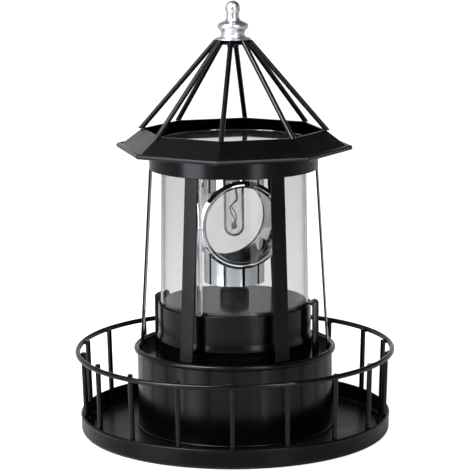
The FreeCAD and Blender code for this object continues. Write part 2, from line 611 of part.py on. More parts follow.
piece(turned("bulb_diode", [
    ("0", DIODE_FOOT),
    ("diode_radius", f"{DIODE_FOOT} + diode_radius", "diode_radius", "left"),
    ("diode_radius", f"{DIODE_FOOT} + diode_height"),
    ("0", f"{DIODE_FOOT} + diode_height"),
]), "bulb_diode")
LEAD_FOOT = f"({DIODE_FOOT} + diode_height + weld_gap)"
leads = [upright(f"bulb_lead_{side}", "lead_wire / 2", LEAD_FOOT,
                 f"{BASE_FOOT} - weld_gap - {LEAD_FOOT}", x=f"{side} * lead_spread / 2")
         for side in (-1, 1)]
piece(together("bulb_leads", leads), "bulb_leads")

# ---- Turning beacon ----

BEACON = about_z(value("beacon_angle"))
FRONT_BACK = FreeCAD.Rotation(FreeCAD.Vector(1, 0, 0), 90)


def lens_cylinder(name, radius, half):
    """A cylinder along Y, centred on the beacon's axis at lens height."""
    solid = bind(doc.addObject("Part::Cylinder", name), Radius=radius, Height=f"2 * ({half})")
    solid.Placement = FreeCAD.Placement(FreeCAD.Vector(0, value(half), value(LENS_LEVEL)), FRONT_BACK)
    return solid


housing_solid = fused("housing_solid", [
    upright("barrel_solid", "barrel_radius", BARREL_FOOT, "lens_rise + barrel_over"),
    lens_cylinder("lens_barrel_solid", "lens_barrel_radius", "lens_barrel_half")])
housing_bore = fused("housing_bore", [
    upright("barrel_bore", "barrel_radius - housing_wall", f"{BARREL_FOOT} + barrel_floor",
            "lens_rise + barrel_over"),
    lens_cylinder("lens_barrel_bore", "lens_barrel_radius - housing_wall",
                  "lens_barrel_half + housing_wall")])
housing_shell = cut("housing_shell", housing_solid, housing_bore)
hub = upright("hub", "hub_radius", BARREL_FOOT, "hub_height")
shaft_bore = upright("shaft_bore", "shaft_radius + weld_gap", BARREL_FOOT, "hub_height")
housing = cut("beacon_housing", fused("housing_with_hub", [housing_shell, hub]), shaft_bore)
piece(housing, "beacon_housing", BEACON)

LENS_RADIUS = "(lens_barrel_radius - housing_wall - lens_gap)"
LENS_FACE = "(lens_barrel_half - lens_recess)"
LENS_BACK = f"({LENS_FACE} - lens_edge)"
LENS_CROWN = f"({LENS_FACE} + lens_curve - sqrt(lens_curve ^ 2 - {LENS_RADIUS} ^ 2))"
BEZEL_FOOT = "(lens_barrel_half + weld_gap)"
BEZEL_TOP = f"({BEZEL_FOOT} + bezel_depth)"
BEZEL_RADIUS = "(lens_barrel_radius + bezel_over)"
BEZEL_OPENING = "(lens_barrel_radius - bezel_lip)"
for label, facing in (("front", 0), ("rear", 180)):
    lens = turned(label + "_lens", [
        ("0", LENS_BACK),
        (LENS_RADIUS, LENS_BACK),
        (LENS_RADIUS, LENS_FACE),
        ("0", LENS_CROWN, "lens_curve", "left"),
    ])
    bezel = turned(label + "_bezel", [
        (BEZEL_OPENING, BEZEL_FOOT),
        (BEZEL_RADIUS, BEZEL_FOOT),
        (BEZEL_RADIUS, f"{BEZEL_TOP} - bezel_round"),
        (f"{BEZEL_RADIUS} - bezel_round", BEZEL_TOP, "bezel_round", "left"),
        (f"{BEZEL_OPENING} + bezel_round", BEZEL_TOP),
        (BEZEL_OPENING, f"{BEZEL_TOP} - bezel_round", "bezel_round", "left"),
    ])
    outward = about_z(value("beacon_angle") + facing, (0, 0, value(LENS_LEVEL))).multiply(
        FreeCAD.Placement(FreeCAD.Vector(0, 0, 0), FRONT_BACK))
    piece(lens, label + "_lens", outward)
    piece(bezel, label + "_bezel", outward)

MOTOR_TOP = f"({CUP_TOP} - gauge)"
SHAFT_FOOT = f"({MOTOR_TOP} - motor_bore + shaft_gap)"
piece(upright("motor_shaft", "shaft_radius", SHAFT_FOOT, f"{BARREL_FOOT} + hub_height - {SHAFT_FOOT}"),
      "motor_shaft")

# ---- Gear motor under the cup, with its boss above ----

BORE = "(shaft_radius + running_gap)"
motor_solid = fused("motor_solid", [
    upright("motor_can", "motor_radius", f"{MOTOR_TOP} - motor_height", "motor_height"),
    block("motor_ears", "0", "0", f"{MOTOR_TOP} - ear_height", "2 * ear_reach", "ear_width", "ear_height")])
motor_holes = fused("motor_holes", [
    upright("motor_bore_hole", BORE, f"{MOTOR_TOP} - motor_bore", "motor_bore")] + [
    upright(f"ear_hole_{side + 1}", "small_screw + screw_clearance", f"{MOTOR_TOP} - ear_height",
            "ear_height", x, y) for side, (x, y) in enumerate(EAR_SPOTS)])
piece(cut("gear_motor", motor_solid, motor_holes), "gear_motor")
piece(turned("motor_boss", [
    (BORE, CUP_TOP),
    ("boss_radius", CUP_TOP),
    ("boss_radius", f"{CUP_TOP} + boss_height - boss_chamfer"),
    ("boss_radius - boss_chamfer", f"{CUP_TOP} + boss_height"),
    (BORE, f"{CUP_TOP} + boss_height"),
]), "motor_boss")


def small_screws(name, spots, under, reach):
    """Pan-head screws driven upward: heads below the level under, shanks up to reach."""
    screws = []
    for number, (x, y) in enumerate(spots):
        head = upright(f"{name}_head_{number}", "small_head", f"{under} - small_head_height",
                       "small_head_height", x, y)
        shank = upright(f"{name}_shank_{number}", "small_screw", under, reach, x, y)
        screws.append(fused(f"{name}_{number}", [head, shank]))
    return piece(together(name, screws), name)


small_screws("motor_screws", EAR_SPOTS, f"({MOTOR_TOP} - ear_height)", "ear_height + gauge")

# ---- Base pan in the tray's hole, with battery, door, switch and circuit board ----

PAN_TOP = f"({FLOOR_TOP} + flange_height)"
BAY_LENGTH = "(cell_length + 2 * contact_gauge + 2 * bay_gap)"
BAY_WIDTH = "(2 * cell_radius + 2 * bay_gap)"
BAY_FOOT = "(tray_lift + door_height + weld_gap)"
BAY_ROOF = f"({BAY_FOOT} + bay_gap + 2 * cell_radius + bay_gap)"
DOOR_LENGTH = f"({BAY_LENGTH} + 2 * door_ledge)"
DOOR_WIDTH = f"({BAY_WIDTH} + 2 * door_ledge)"
HINGE_Y = f"(bay_y + {DOOR_WIDTH} / 2 - door_height / 2)"
HINGE_LEVEL = "(tray_lift + door_height / 2)"
PILLAR_SPOTS = [(f"{side} * pillar_x", "board_y") for side in (-1, 1)]
BOARD_FOOT = f"({PAN_TOP} + pillar_height)"


def along_x(name, radius, length, y, z):
    """A cylinder along X, centred on the middle plane."""
    solid = bind(doc.addObject("Part::Cylinder", name), Radius=radius, Height=length)
    solid.Placement = FreeCAD.Placement(FreeCAD.Vector(-value(length) / 2, value(y), value(z)),
                                        FreeCAD.Rotation(FreeCAD.Vector(0, 1, 0), 90))
    return solid


pan_body = fused("pan_body", [
    upright("pan_plug", "tray_hole - pan_plug_gap", "tray_lift", "tray_gauge"),
    upright("pan_plate", "tray_hole + flange_width", FLOOR_TOP, "flange_height"),
    block("bay_box", "0", "bay_y", FLOOR_TOP, f"{BAY_LENGTH} + 2 * bay_wall",
          f"{BAY_WIDTH} + 2 * bay_wall", f"{BAY_ROOF} + bay_wall - {FLOOR_TOP}")] + [
    upright(f"board_pillar_{side}", "pillar_radius", PAN_TOP, "pillar_height", x, y)
    for side, (x, y) in enumerate(PILLAR_SPOTS)])
pan_spaces = fused("pan_spaces", [
    block("door_recess", "0", "bay_y", "tray_lift", f"{DOOR_LENGTH} + 2 * door_gap",
          f"{DOOR_WIDTH} + 2 * door_gap", "door_height + weld_gap"),
    along_x("hinge_sockets", "hinge_pin + running_gap",
            f"{DOOR_LENGTH} + 2 * (door_gap + pin_reach + seat_gap)", HINGE_Y, HINGE_LEVEL),
    block("bay_space", "0", "bay_y", BAY_FOOT, BAY_LENGTH, BAY_WIDTH, f"{BAY_ROOF} - {BAY_FOOT}"),
    block("nub_slot", "nub_travel / 2", "nub_y", "tray_lift", "nub_width + nub_travel + 2 * nub_gap",
          "nub_width + 2 * nub_gap", f"{PAN_TOP} - tray_lift")] + [
    upright(f"pan_pilot_{side}", "small_screw + weld_gap", FLOOR_TOP, "flange_height", x, y)
    for side, (x, y) in enumerate(PAN_SPOTS)] + [
    upright(f"board_pilot_{side}", "small_screw + weld_gap", PAN_TOP, "pillar_height", x, y)
    for side, (x, y) in enumerate(PILLAR_SPOTS)])
piece(cut("base_pan", pan_body, pan_spaces), "base_pan")
small_screws("base_screws", PAN_SPOTS, "tray_lift", "tray_gauge + flange_height")

door = fused("battery_door", [
    block("door_panel", "0", "bay_y - door_height / 4", "tray_lift", DOOR_LENGTH,
          f"{DOOR_WIDTH} - door_height / 2", "door_height"),
    along_x("door_edge", "door_height / 2", DOOR_LENGTH, HINGE_Y, HINGE_LEVEL),
    along_x("door_pins", "hinge_pin", f"{DOOR_LENGTH} + 2 * (door_gap + pin_reach)", HINGE_Y, HINGE_LEVEL)])
piece(door, "battery_door")

CELL_MIDDLE = f"({BAY_FOOT} + bay_gap + cell_radius)"
piece(along_x("battery_cell", "cell_radius", "cell_length", "bay_y", CELL_MIDDLE), "battery_cell")
contacts = [block(f"contact_{side}", f"{side} * ({BAY_LENGTH} - contact_gauge) / 2", "bay_y",
                  f"{BAY_FOOT} + bay_gap", "contact_gauge", "cell_radius", "2 * cell_radius - bay_gap")
            for side in (-1, 1)]
piece(together("battery_contacts", contacts), "battery_contacts")

piece(block("switch_slider", "0", "nub_y", "tray_lift - nub_proud", "nub_width", "nub_width",
            f"{PAN_TOP} - seat_gap - tray_lift + nub_proud"), "switch_slider")
piece(block("switch_body", "nub_travel / 2", "nub_y", PAN_TOP, "switch_length", "switch_width",
            "switch_height"), "switch_body")

board_blank = block("board_blank", "0", "board_y", BOARD_FOOT, "board_length", "board_width", "board_gauge")
board_holes = fused("board_holes", [
    upright(f"board_hole_{side}", "small_screw + screw_clearance", BOARD_FOOT, "board_gauge", x, y)
    for side, (x, y) in enumerate(PILLAR_SPOTS)])
piece(cut("circuit_board", board_blank, board_holes), "circuit_board")
board_screws = []
for side, (x, y) in enumerate(PILLAR_SPOTS):
    head = upright(f"board_head_{side}", "small_head", f"{BOARD_FOOT} + board_gauge",
                   "small_head_height", x, y)
    shank = upright(f"board_shank_{side}", "small_screw", f"{BOARD_FOOT} - pillar_height / 2",
                    "pillar_height / 2 + board_gauge", x, y)
    board_screws.append(fused(f"board_screw_{side}", [head, shank]))
piece(together("board_screws", board_screws), "board_screws")

LEADS_FOOT = f"({BOARD_FOOT} + board_gauge)"
risers = [upright(f"motor_lead_{side}", "motor_lead / 2", LEADS_FOOT,
                  f"{MOTOR_TOP} - motor_height - {LEADS_FOOT}", f"{side} * motor_lead_spread",
                  "lead_hole_y") for side in (-1, 1)]
piece(together("motor_leads", risers), "motor_leads")

# ---- Check and write ----

doc.recompute()
for thing in doc.Objects:
    if "Invalid" in thing.State or "Error" in thing.State:
        raise RuntimeError(f"{thing.Label} did not build: {thing.State}")
os.makedirs("parts", exist_ok=True)
for sub_part in pieces:
    shape = sub_part.Shape
    if shape.isNull() or not shape.isValid() or not shape.Solids:
        raise RuntimeError(f"{sub_part.Label} has no valid solid")
    shape.exportStep(f"parts/{sub_part.Label}.step")
    print(f"{sub_part.Label}: {len(shape.Solids)} solid, {shape.Volume:.1f} mm3")
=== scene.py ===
import bmesh
import bpy
import math
import random
from mathutils import Matrix, Vector


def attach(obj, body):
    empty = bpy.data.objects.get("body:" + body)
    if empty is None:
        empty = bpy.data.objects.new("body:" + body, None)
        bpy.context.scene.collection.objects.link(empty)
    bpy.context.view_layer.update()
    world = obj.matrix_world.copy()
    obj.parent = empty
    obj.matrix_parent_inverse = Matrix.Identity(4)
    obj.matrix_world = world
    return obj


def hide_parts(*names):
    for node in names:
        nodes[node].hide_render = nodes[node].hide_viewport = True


# A garden lighthouse ornament in black baked enamel. The pieces come in the order in which the
# real one is put together, from the tray up. Lengths are in millimetres, in the model's own frame,
# except for the camera, the lamps and the scales of the materials, which are in metres.
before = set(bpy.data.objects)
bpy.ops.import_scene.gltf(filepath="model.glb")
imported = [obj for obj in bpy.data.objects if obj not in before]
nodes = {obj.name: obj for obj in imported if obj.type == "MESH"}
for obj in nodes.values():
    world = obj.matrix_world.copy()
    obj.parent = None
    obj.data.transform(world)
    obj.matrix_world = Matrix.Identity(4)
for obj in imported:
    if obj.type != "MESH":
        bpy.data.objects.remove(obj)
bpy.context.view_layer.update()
scene = bpy.context.scene
scene.view_settings.view_transform = "Standard"
random.seed(11)

# ---- Camera ----
# A long lens from the front, a little above the ornament and turned a hair to the right.
# Its place comes from a fit to the rail, drums, collar and finial in the photograph.
CAMERA_BACK, CAMERA_HEIGHT = 1.2610, 0.3457
CAMERA_PAN, CAMERA_TILT, CAMERA_ROLL = -0.0004, 0.1795, -0.0062
view_camera = bpy.data.objects.new("camera", bpy.data.cameras.new("camera"))
view_camera.data.sensor_width = 36.0
view_camera.data.lens = 166.62
view_camera.data.clip_start = 0.05
view_camera.data.clip_end = 60.0
view_camera.matrix_world = (Matrix.Translation((0, -CAMERA_BACK, CAMERA_HEIGHT))
                            @ Matrix.Rotation(CAMERA_PAN, 4, "Z")
                            @ Matrix.Rotation(math.radians(90) - CAMERA_TILT, 4, "X")
                            @ Matrix.Rotation(CAMERA_ROLL, 4, "Z"))
scene.collection.objects.link(view_camera)
scene.camera = view_camera


# ---- Black baked enamel ----
# Sheet and wire are sprayed with semi-gloss black and baked. It reads almost black, with soft
# wide highlights, a faint orange peel and a little pale dust where a surface looks up.

def hex_colour(text):
    """The linear colour of an sRGB hex value."""
    parts = [int(text[place:place + 2], 16) / 255 for place in (1, 3, 5)]
    return tuple(part / 12.92 if part <= 0.04045 else ((part + 0.055) / 1.055) ** 2.4
                 for part in parts) + (1.0,)


def add_node(tree, kind, settings=(), **links):
    """Add a shader node. settings is a dict of its own properties. Each link is a value or a hex
    colour for the input of that name, an output to join to it, or a node, of which the first output
    in use is joined. Input_2 means the input at place 2."""
    node = tree.nodes.new(kind)
    for name, setting in dict(settings).items():
        setattr(node, name, setting)
    for name, source in links.items():
        if name.startswith("Input_"):
            socket = node.inputs[int(name[6:])]
        else:
            socket = node.inputs[name.replace("_", " ")]
        if isinstance(source, bpy.types.Node):
            source = next(output for output in source.outputs if output.enabled)
        if isinstance(source, bpy.types.NodeSocket):
            tree.links.new(source, socket)
        elif isinstance(source, str):
            socket.default_value = hex_colour(source)
        else:
            socket.default_value = source
    return node

def new_finish(name):
    """An empty material, its tree, and the place on the piece, which its patterns follow."""
    finish = bpy.data.materials.new(name)
    finish.use_nodes = True
    tree = finish.node_tree
    tree.nodes.clear()
    return finish, tree, add_node(tree, "ShaderNodeTexCoord").outputs["Object"]

def enamel(name, black, dusty, roughness, peel, ior):
    """Baked enamel: its black, the tone that dust gives it, and how strong the orange peel is."""
    finish, tree, place = new_finish(name)
    cloud = add_node(tree, "ShaderNodeTexNoise", Vector=place, Scale=55.0, Detail=4.0)
    normal = add_node(tree, "ShaderNodeNewGeometry").outputs["Normal"]
    up = add_node(tree, "ShaderNodeSeparateXYZ", Vector=normal).outputs["Z"]
    lying = add_node(tree, "ShaderNodeMapRange", Value=up, From_Min=0.2, From_Max=1.0)
    settled = add_node(tree, "ShaderNodeMath", {"operation": "MULTIPLY"}, Input_0=cloud, Input_1=lying)
    # Sparse specks of dust, about half a millimetre across.
    speck = add_node(tree, "ShaderNodeTexVoronoi", Vector=place, Scale=420.0)
    rare = add_node(tree, "ShaderNodeTexNoise", Vector=place, Scale=160.0, Detail=1.0)
    dot = add_node(tree, "ShaderNodeMapRange", Value=speck, From_Min=0.16, From_Max=0.05)
    few = add_node(tree, "ShaderNodeMapRange", Value=rare, From_Min=0.66, From_Max=0.7)
    specks = add_node(tree, "ShaderNodeMath", {"operation": "MULTIPLY"}, Input_0=dot, Input_1=few)
    cover = add_node(tree, "ShaderNodeMath", {"operation": "ADD", "use_clamp": True}, Input_0=settled,
                     Input_1=specks)
    colour = add_node(tree, "ShaderNodeMix", {"data_type": "RGBA"}, Input_0=cover, Input_6=black,
                      Input_7=dusty)
    gloss = add_node(tree, "ShaderNodeMapRange", Value=cloud, From_Min=0.3, From_Max=0.7,
                     To_Min=roughness - 0.04, To_Max=roughness + 0.06)
    # Orange peel about 0.9 mm from crest to crest.
    skin = add_node(tree, "ShaderNodeTexNoise", Vector=place, Scale=1100.0, Detail=2.0)
    relief = add_node(tree, "ShaderNodeBump", Height=skin, Strength=peel, Distance=0.0002)
    shader = add_node(tree, "ShaderNodeBsdfPrincipled", Base_Color=colour, IOR=ior, Roughness=gloss,
                      Normal=relief)
    add_node(tree, "ShaderNodeOutputMaterial", Surface=shader)
    return finish

black_enamel = enamel("black_baked_enamel", "#030304", "#0a0a09", 0.21, 0.06, 1.28)


# ---- Tray ----
# A dished steel sheet, pressed so that it stands on its rounded lower edge. The wall's top is
# hemmed outward, and the middle is open for the base pan.

def softened(outline):
    """Round each corner of a closed outline that names a radius as its third number."""
    points = []
    for index, corner in enumerate(outline):
        here = Vector(corner[:2])
        radius = corner[2] if len(corner) > 2 else 0.0
        before = Vector(outline[index - 1][:2]) - here
        after = Vector(outline[(index + 1) % len(outline)][:2]) - here
        if radius <= 0 or before.length < 1e-6 or after.length < 1e-6:
            points.append(here)
            continue
        turn = before.angle(after)
        reach = min(radius / math.tan(turn / 2), before.length * 0.49, after.length * 0.49)
        radius = reach * math.tan(turn / 2)
        first = here + before.normalized() * reach
        last = here + after.normalized() * reach
        inward = (before.normalized() + after.normalized()).normalized()
        centre = here + inward * math.hypot(radius, reach)
        start = first - centre
        sweep = start.angle_signed(last - centre)
        steps = max(2, math.ceil(abs(sweep) / math.radians(15)))
        for step in range(steps + 1):
            angle = -sweep * step / steps
            points.append(centre + Matrix.Rotation(angle, 2) @ start)
    return points


def finished(name, mesh_data, sharp=38.0):
    """Close a mesh drawn in millimetres and shade it, keeping edges above this angle sharp."""
    bmesh.ops.remove_doubles(mesh_data, verts=mesh_data.verts, dist=0.0005)
    bmesh.ops.recalc_face_normals(mesh_data, faces=mesh_data.faces)
    for face in mesh_data.faces:
        face.smooth = True
    for edge in mesh_data.edges:
        edge.smooth = len(edge.link_faces) == 2 and edge.calc_face_angle(0.0) < math.radians(sharp)
    mesh = bpy.data.meshes.new(name)
    bmesh.ops.scale(mesh_data, vec=(0.001, 0.001, 0.001), verts=mesh_data.verts)
    mesh_data.to_mesh(mesh)
    mesh_data.free()
    piece = bpy.data.objects.new(name, mesh)
    scene.collection.objects.link(piece)
    flatten = piece.modifiers.new("even_normals", "WEIGHTED_NORMAL")
    flatten.keep_sharp = True
    return piece


def turned(name, outline, steps=192, start=0.0):
    """A closed (radius, height, corner radius) outline turned about the upright axis."""
    mesh_data = bmesh.new()
    profile = softened(outline)
    rings = []
    for step in range(steps):
        angle = math.radians(start) + math.tau * step / steps
        rings.append([mesh_data.verts.new((spot.x * math.cos(angle), spot.x * math.sin(angle), spot.y))
                      for spot in profile])
    for step, ring in enumerate(rings):
        following = rings[(step + 1) % steps]
        for place in range(len(profile)):
            after = (place + 1) % len(profile)
            if max(profile[place].x, profile[after].x) < 1e-6:
                continue
            mesh_data.faces.new((ring[place], following[place], following[after], ring[after]))
    bmesh.ops.remove_doubles(mesh_data, verts=mesh_data.verts, dist=0.0005)
    flat = [face for face in mesh_data.faces if face.calc_area() < 1e-9]
    bmesh.ops.delete(mesh_data, geom=flat, context="FACES_ONLY")
    return finished(name, mesh_data)


def arc(centre_r, centre_z, radius, start, stop, steps=10):
    """Points along an arc of an outline, from one angle in degrees to another."""
    return [(centre_r + radius * math.cos(math.radians(start + (stop - start) * step / steps)),
             centre_z + radius * math.sin(math.radians(start + (stop - start) * step / steps)))
            for step in range(steps + 1)]


def fit(piece, finish, slot, *stands_for, body="lighthouse"):
    """Give a piece its finish, the body that it moves with and the solids that it stands for.
    The slot is not used."""
    piece.data.materials.append(finish)
    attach(piece, body)
    if stands_for:
        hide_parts(*stands_for)


TRAY_RADIUS, TRAY_GAUGE, TRAY_HOLE, TRAY_FLOOR = 91.6, 1.0, 38.0, 3.0
EDGE_ROUND = 3.0
EDGE_CENTRE = TRAY_RADIUS - EDGE_ROUND
TRAY_UNDERSIDE = TRAY_FLOOR - TRAY_GAUGE
TRAY_INSIDE = TRAY_RADIUS - TRAY_GAUGE
HEM_ROUND, HEM_LEVEL = 1.05, 10.75
tray_outline = (
    [(TRAY_HOLE, TRAY_UNDERSIDE, 0.2), (84.4, TRAY_UNDERSIDE, 1.2), (86.0, 0.0, 0.8), (EDGE_CENTRE, 0.0)]
    + arc(EDGE_CENTRE, EDGE_ROUND, EDGE_ROUND, -80, 0) + [(TRAY_RADIUS, 9.7, 0.3)]
    + arc(TRAY_RADIUS - 0.7, HEM_LEVEL, HEM_ROUND, -45, 90)
    + [(TRAY_INSIDE + 0.15, 11.7, 0.1), (TRAY_INSIDE, 11.5, 0.1), (TRAY_INSIDE, EDGE_ROUND)]
    + arc(EDGE_CENTRE, EDGE_ROUND, EDGE_ROUND - TRAY_GAUGE, 0, -90)
    + [(86.1, 1.0, 0.8), (84.5, TRAY_FLOOR, 1.2), (TRAY_HOLE, TRAY_FLOOR, 0.2)])
# The tray is a little duller than the rest, so it hardly mirrors the room at a low angle.
dull_enamel = enamel("black_baked_enamel_dull", "#030303", "#0a0a09", 0.3, 0.08, 1.2)
fit(turned("tray_sheet", tray_outline, 256), dull_enamel, "black_paint", "tray")

# ---- Lower drum and its deck ----
# A rolled sheet drum. Its rim is rolled outward over a wire and a small bead stiffens its foot.
# The sheet deck that the posts stand on is welded in under the rim. All are of one GAUGE.
GAUGE = 0.8
DRUM_RADIUS = 57.7
RIM_ROUND, RIM_LEVEL = 1.6, 50.0
FOOT_BEAD, FOOT_BEAD_LEVEL = 0.62, 4.0
DECK_LEVEL, DECK_RADIUS = 45.0, 56.86
drum_outline = ([(DRUM_RADIUS - GAUGE, TRAY_FLOOR), (DRUM_RADIUS, TRAY_FLOOR), (DRUM_RADIUS, 3.3, 0.1)]
                + arc(DRUM_RADIUS - 0.2, FOOT_BEAD_LEVEL, FOOT_BEAD, -70, 70, 8)
                + [(DRUM_RADIUS, 4.9, 0.4), (DRUM_RADIUS, 48.3, 0.2)]
                + arc(DRUM_RADIUS + 0.5, RIM_LEVEL, RIM_ROUND, -105, 212, 30))
fit(turned("lower_drum", drum_outline, 224), black_enamel, "black_paint", "drum_shell")
deck_outline = [(0.0, DECK_LEVEL - GAUGE), (DECK_RADIUS, DECK_LEVEL - GAUGE, 0.2),
                (DECK_RADIUS, DECK_LEVEL, 0.3), (0.0, DECK_LEVEL)]
fit(turned("deck_sheet", deck_outline, 160), black_enamel, "black_paint", "drum_deck")

# ---- Gallery rail ----
# 3 mm wire bent into a ring and butt-welded, on upright wires cut square. Each upright is tacked
# to the inside of the ring and of the tray's wall with a small bead of weld.
RAIL_RADIUS, RAIL_LEVEL = 93.2, 48.7
RAIL_STEPS = 240
JOINT_BEARING = 291.0
JOINT_HALF = 1.6
ROD_COUNT, FIRST_ROD = 18, -91
ROD_FOOT_RADIUS, ROD_LEAN = 88.81, 0.0301
RING_WELD_RADIUS, WALL_WELD_RADIUS, WALL_WELD_LEVEL = 91.7, 90.1, 10.6
WIRE_RADIUS = 1.5
UP = Vector((0, 0, 1))


def outward(bearing):
    """The level direction away from the axis at a bearing in degrees."""
    return Vector((math.cos(math.radians(bearing)), math.sin(math.radians(bearing)), 0))


def lump(mesh_data, centre, size):
    """A rough rounded blob of weld, as a squashed ball with uneven sides."""
    made = bmesh.ops.create_uvsphere(mesh_data, u_segments=14, v_segments=8, radius=1.0,
                                     matrix=Matrix.Translation(centre) @ Matrix.Diagonal((*size, 1.0)))
    for vert in made["verts"]:
        vert.co += (vert.co - centre) * random.uniform(-0.12, 0.06)


def bar(mesh_data, path, radii, around=20, closed=False):
    """A round bar along a path, with its own radius at each point."""
    count = len(path)
    rings = []
    side = None
    for index, spot in enumerate(path):
        before = path[index - 1] if closed or index else spot
        after = path[(index + 1) % count] if closed or index < count - 1 else spot
        along = (after - before).normalized()
        if side is None:
            side = along.orthogonal().normalized()
        side = (side - along * side.dot(along)).normalized()
        other = along.cross(side)
        rings.append([mesh_data.verts.new(spot + radii[index] * (
            side * math.cos(math.tau * step / around) + other * math.sin(math.tau * step / around)))
            for step in range(around)])
    for index in range(count if closed else count - 1):
        ring, following = rings[index], rings[(index + 1) % count]
        for step in range(around):
            beyond = (step + 1) % around
            mesh_data.faces.new((ring[step], ring[beyond], following[beyond], following[step]))
    if not closed:
        mesh_data.faces.new(rings[0])
        mesh_data.faces.new(rings[-1])


def rail_height(spot):
    """The ring isn't quite flat: it rises to the right and to the back by about a millimetre."""
    return RAIL_LEVEL + 0.2 + 0.0047 * spot.x + 0.0085 * spot.y - 0.000094 * spot.x * spot.y


rail_mesh = bmesh.new()
rail_path = []
rail_radii = []
for step in range(RAIL_STEPS):
    bearing = 360 * step / RAIL_STEPS
    spot = outward(bearing) * RAIL_RADIUS
    rail_path.append(spot + UP * rail_height(spot))
    from_joint = abs((bearing - JOINT_BEARING + 180) % 360 - 180)
    swelling = 0.22 * max(0.0, 1 - (from_joint / JOINT_HALF) ** 2)
    notch = 0.1 * (JOINT_HALF < from_joint < 2 * JOINT_HALF)
    rail_radii.append(WIRE_RADIUS + swelling - notch)
bar(rail_mesh, rail_path, rail_radii, 20, True)
fit(finished("gallery_rail", rail_mesh), black_enamel, "black_paint", "rail_ring")

# Each upright's heights, with its radius there. Its cut top is a little rounded.
ROD_OUTLINE = ((TRAY_FLOOR, WIRE_RADIUS), (12.0, WIRE_RADIUS), (30.0, WIRE_RADIUS), (49.4, WIRE_RADIUS),
               (49.6, 1.44), (49.74, 1.3), (49.8, 1.1))
rod_mesh = bmesh.new()
weld_mesh = bmesh.new()
for index in range(ROD_COUNT):
    direction = outward(FIRST_ROD + 360 / ROD_COUNT * index)
    foot = direction * ROD_FOOT_RADIUS + UP * TRAY_FLOOR
    path = [foot + (UP + direction * ROD_LEAN) * (height - TRAY_FLOOR) for height, _ in ROD_OUTLINE]
    bar(rod_mesh, path, [radius for _, radius in ROD_OUTLINE], 16)
    sideways = Vector((-direction.y, direction.x, 0))
    ring_level = rail_height(direction * RAIL_RADIUS)
    at_ring = direction * RING_WELD_RADIUS + UP * ring_level
    at_wall = direction * WALL_WELD_RADIUS + UP * WALL_WELD_LEVEL
    lump(weld_mesh, at_ring + sideways * 0.6 + UP * 0.7, (0.9, 0.9, 0.55))
    lump(weld_mesh, at_ring - direction * 0.1 - sideways * 0.3 - UP * 1.0, (1.0, 1.0, 0.6))
    lump(weld_mesh, at_wall + sideways * 0.2, (1.0, 0.8, 1.3))
fit(finished("rail_uprights", rod_mesh), black_enamel, "black_paint", "balusters")
fit(finished("rail_welds", weld_mesh, 60.0), black_enamel, "black_paint")

# ---- Upper drum and its cup ----
# A short drum with one ridge rolled into it. A black cup inside it carries the motor. Its glossy
# top, which is the lantern's floor, stands a little above the drum's edge.
UPPER_RADIUS, UPPER_TOP = 45.2, 76.7
EDGE_TURN = GAUGE / 2
RIDGE_LEVEL, RIDGE_HALF, RIDGE_STAND, RIDGE_ROUND = 56.9, 3.3, 0.67, 6.24
upper_outline = ([(UPPER_RADIUS - GAUGE, DECK_LEVEL), (UPPER_RADIUS, DECK_LEVEL, 0.2),
                  (UPPER_RADIUS, RIDGE_LEVEL - RIDGE_HALF, 2.0)]
                 + arc(UPPER_RADIUS + RIDGE_STAND - RIDGE_ROUND, RIDGE_LEVEL, RIDGE_ROUND, -22, 22, 8)
                 + [(UPPER_RADIUS, RIDGE_LEVEL + RIDGE_HALF, 2.0), (UPPER_RADIUS, UPPER_TOP - 0.1)]
                 + arc(UPPER_RADIUS - EDGE_TURN, UPPER_TOP, EDGE_TURN, 0, 180, 8)
                 + [(UPPER_RADIUS - GAUGE, UPPER_TOP - 0.1)])
fit(turned("upper_drum_sheet", upper_outline, 192), black_enamel, "black_paint", "upper_drum")

CUP_RADIUS, CUP_WALL = 44.3, 0.8
FLOOR_RADIUS, FLOOR_LEVEL, FLOOR_HOLE = 42.75, 78.5, 5.2
TUBE_FOOT = 69.5
cup_finish, tree, place = new_finish("black_gloss_moulding")
haze = add_node(tree, "ShaderNodeTexNoise", Vector=place, Scale=38.0, Detail=5.0)
film = add_node(tree, "ShaderNodeMix", {"data_type": "RGBA"}, Input_0=haze, Input_6="#121213",
                Input_7="#2a2a29")
cup_gloss = add_node(tree, "ShaderNodeMapRange", Value=haze, From_Min=0.3, From_Max=0.7, To_Min=0.1,
                     To_Max=0.18)
cup_shader = add_node(tree, "ShaderNodeBsdfPrincipled", Base_Color=film, IOR=1.65, Roughness=cup_gloss)
add_node(tree, "ShaderNodeOutputMaterial", Surface=cup_shader)
cup_outline = [(CUP_RADIUS - CUP_WALL, DECK_LEVEL), (CUP_RADIUS, DECK_LEVEL), (CUP_RADIUS, TUBE_FOOT, 0.2),
               (FLOOR_RADIUS, TUBE_FOOT, 0.1), (FLOOR_RADIUS, FLOOR_LEVEL, 1.1),
               (FLOOR_HOLE, FLOOR_LEVEL, 0.2), (FLOOR_HOLE, FLOOR_LEVEL - CUP_WALL),
               (FLOOR_RADIUS - CUP_WALL, FLOOR_LEVEL - CUP_WALL, 0.3),
               (FLOOR_RADIUS - CUP_WALL, TUBE_FOOT - CUP_WALL),
               (CUP_RADIUS - CUP_WALL, TUBE_FOOT - CUP_WALL)]
fit(turned("lantern_floor_cup", cup_outline, 160), cup_finish, "cup_plastic", "motor_cup")


# ---- Posts ----
# Six flat steel strips with rolled edges. They stand on the deck, lean in, and are welded under
# the collar. Each was welded a few degrees off square, so its outer face looks to one side.

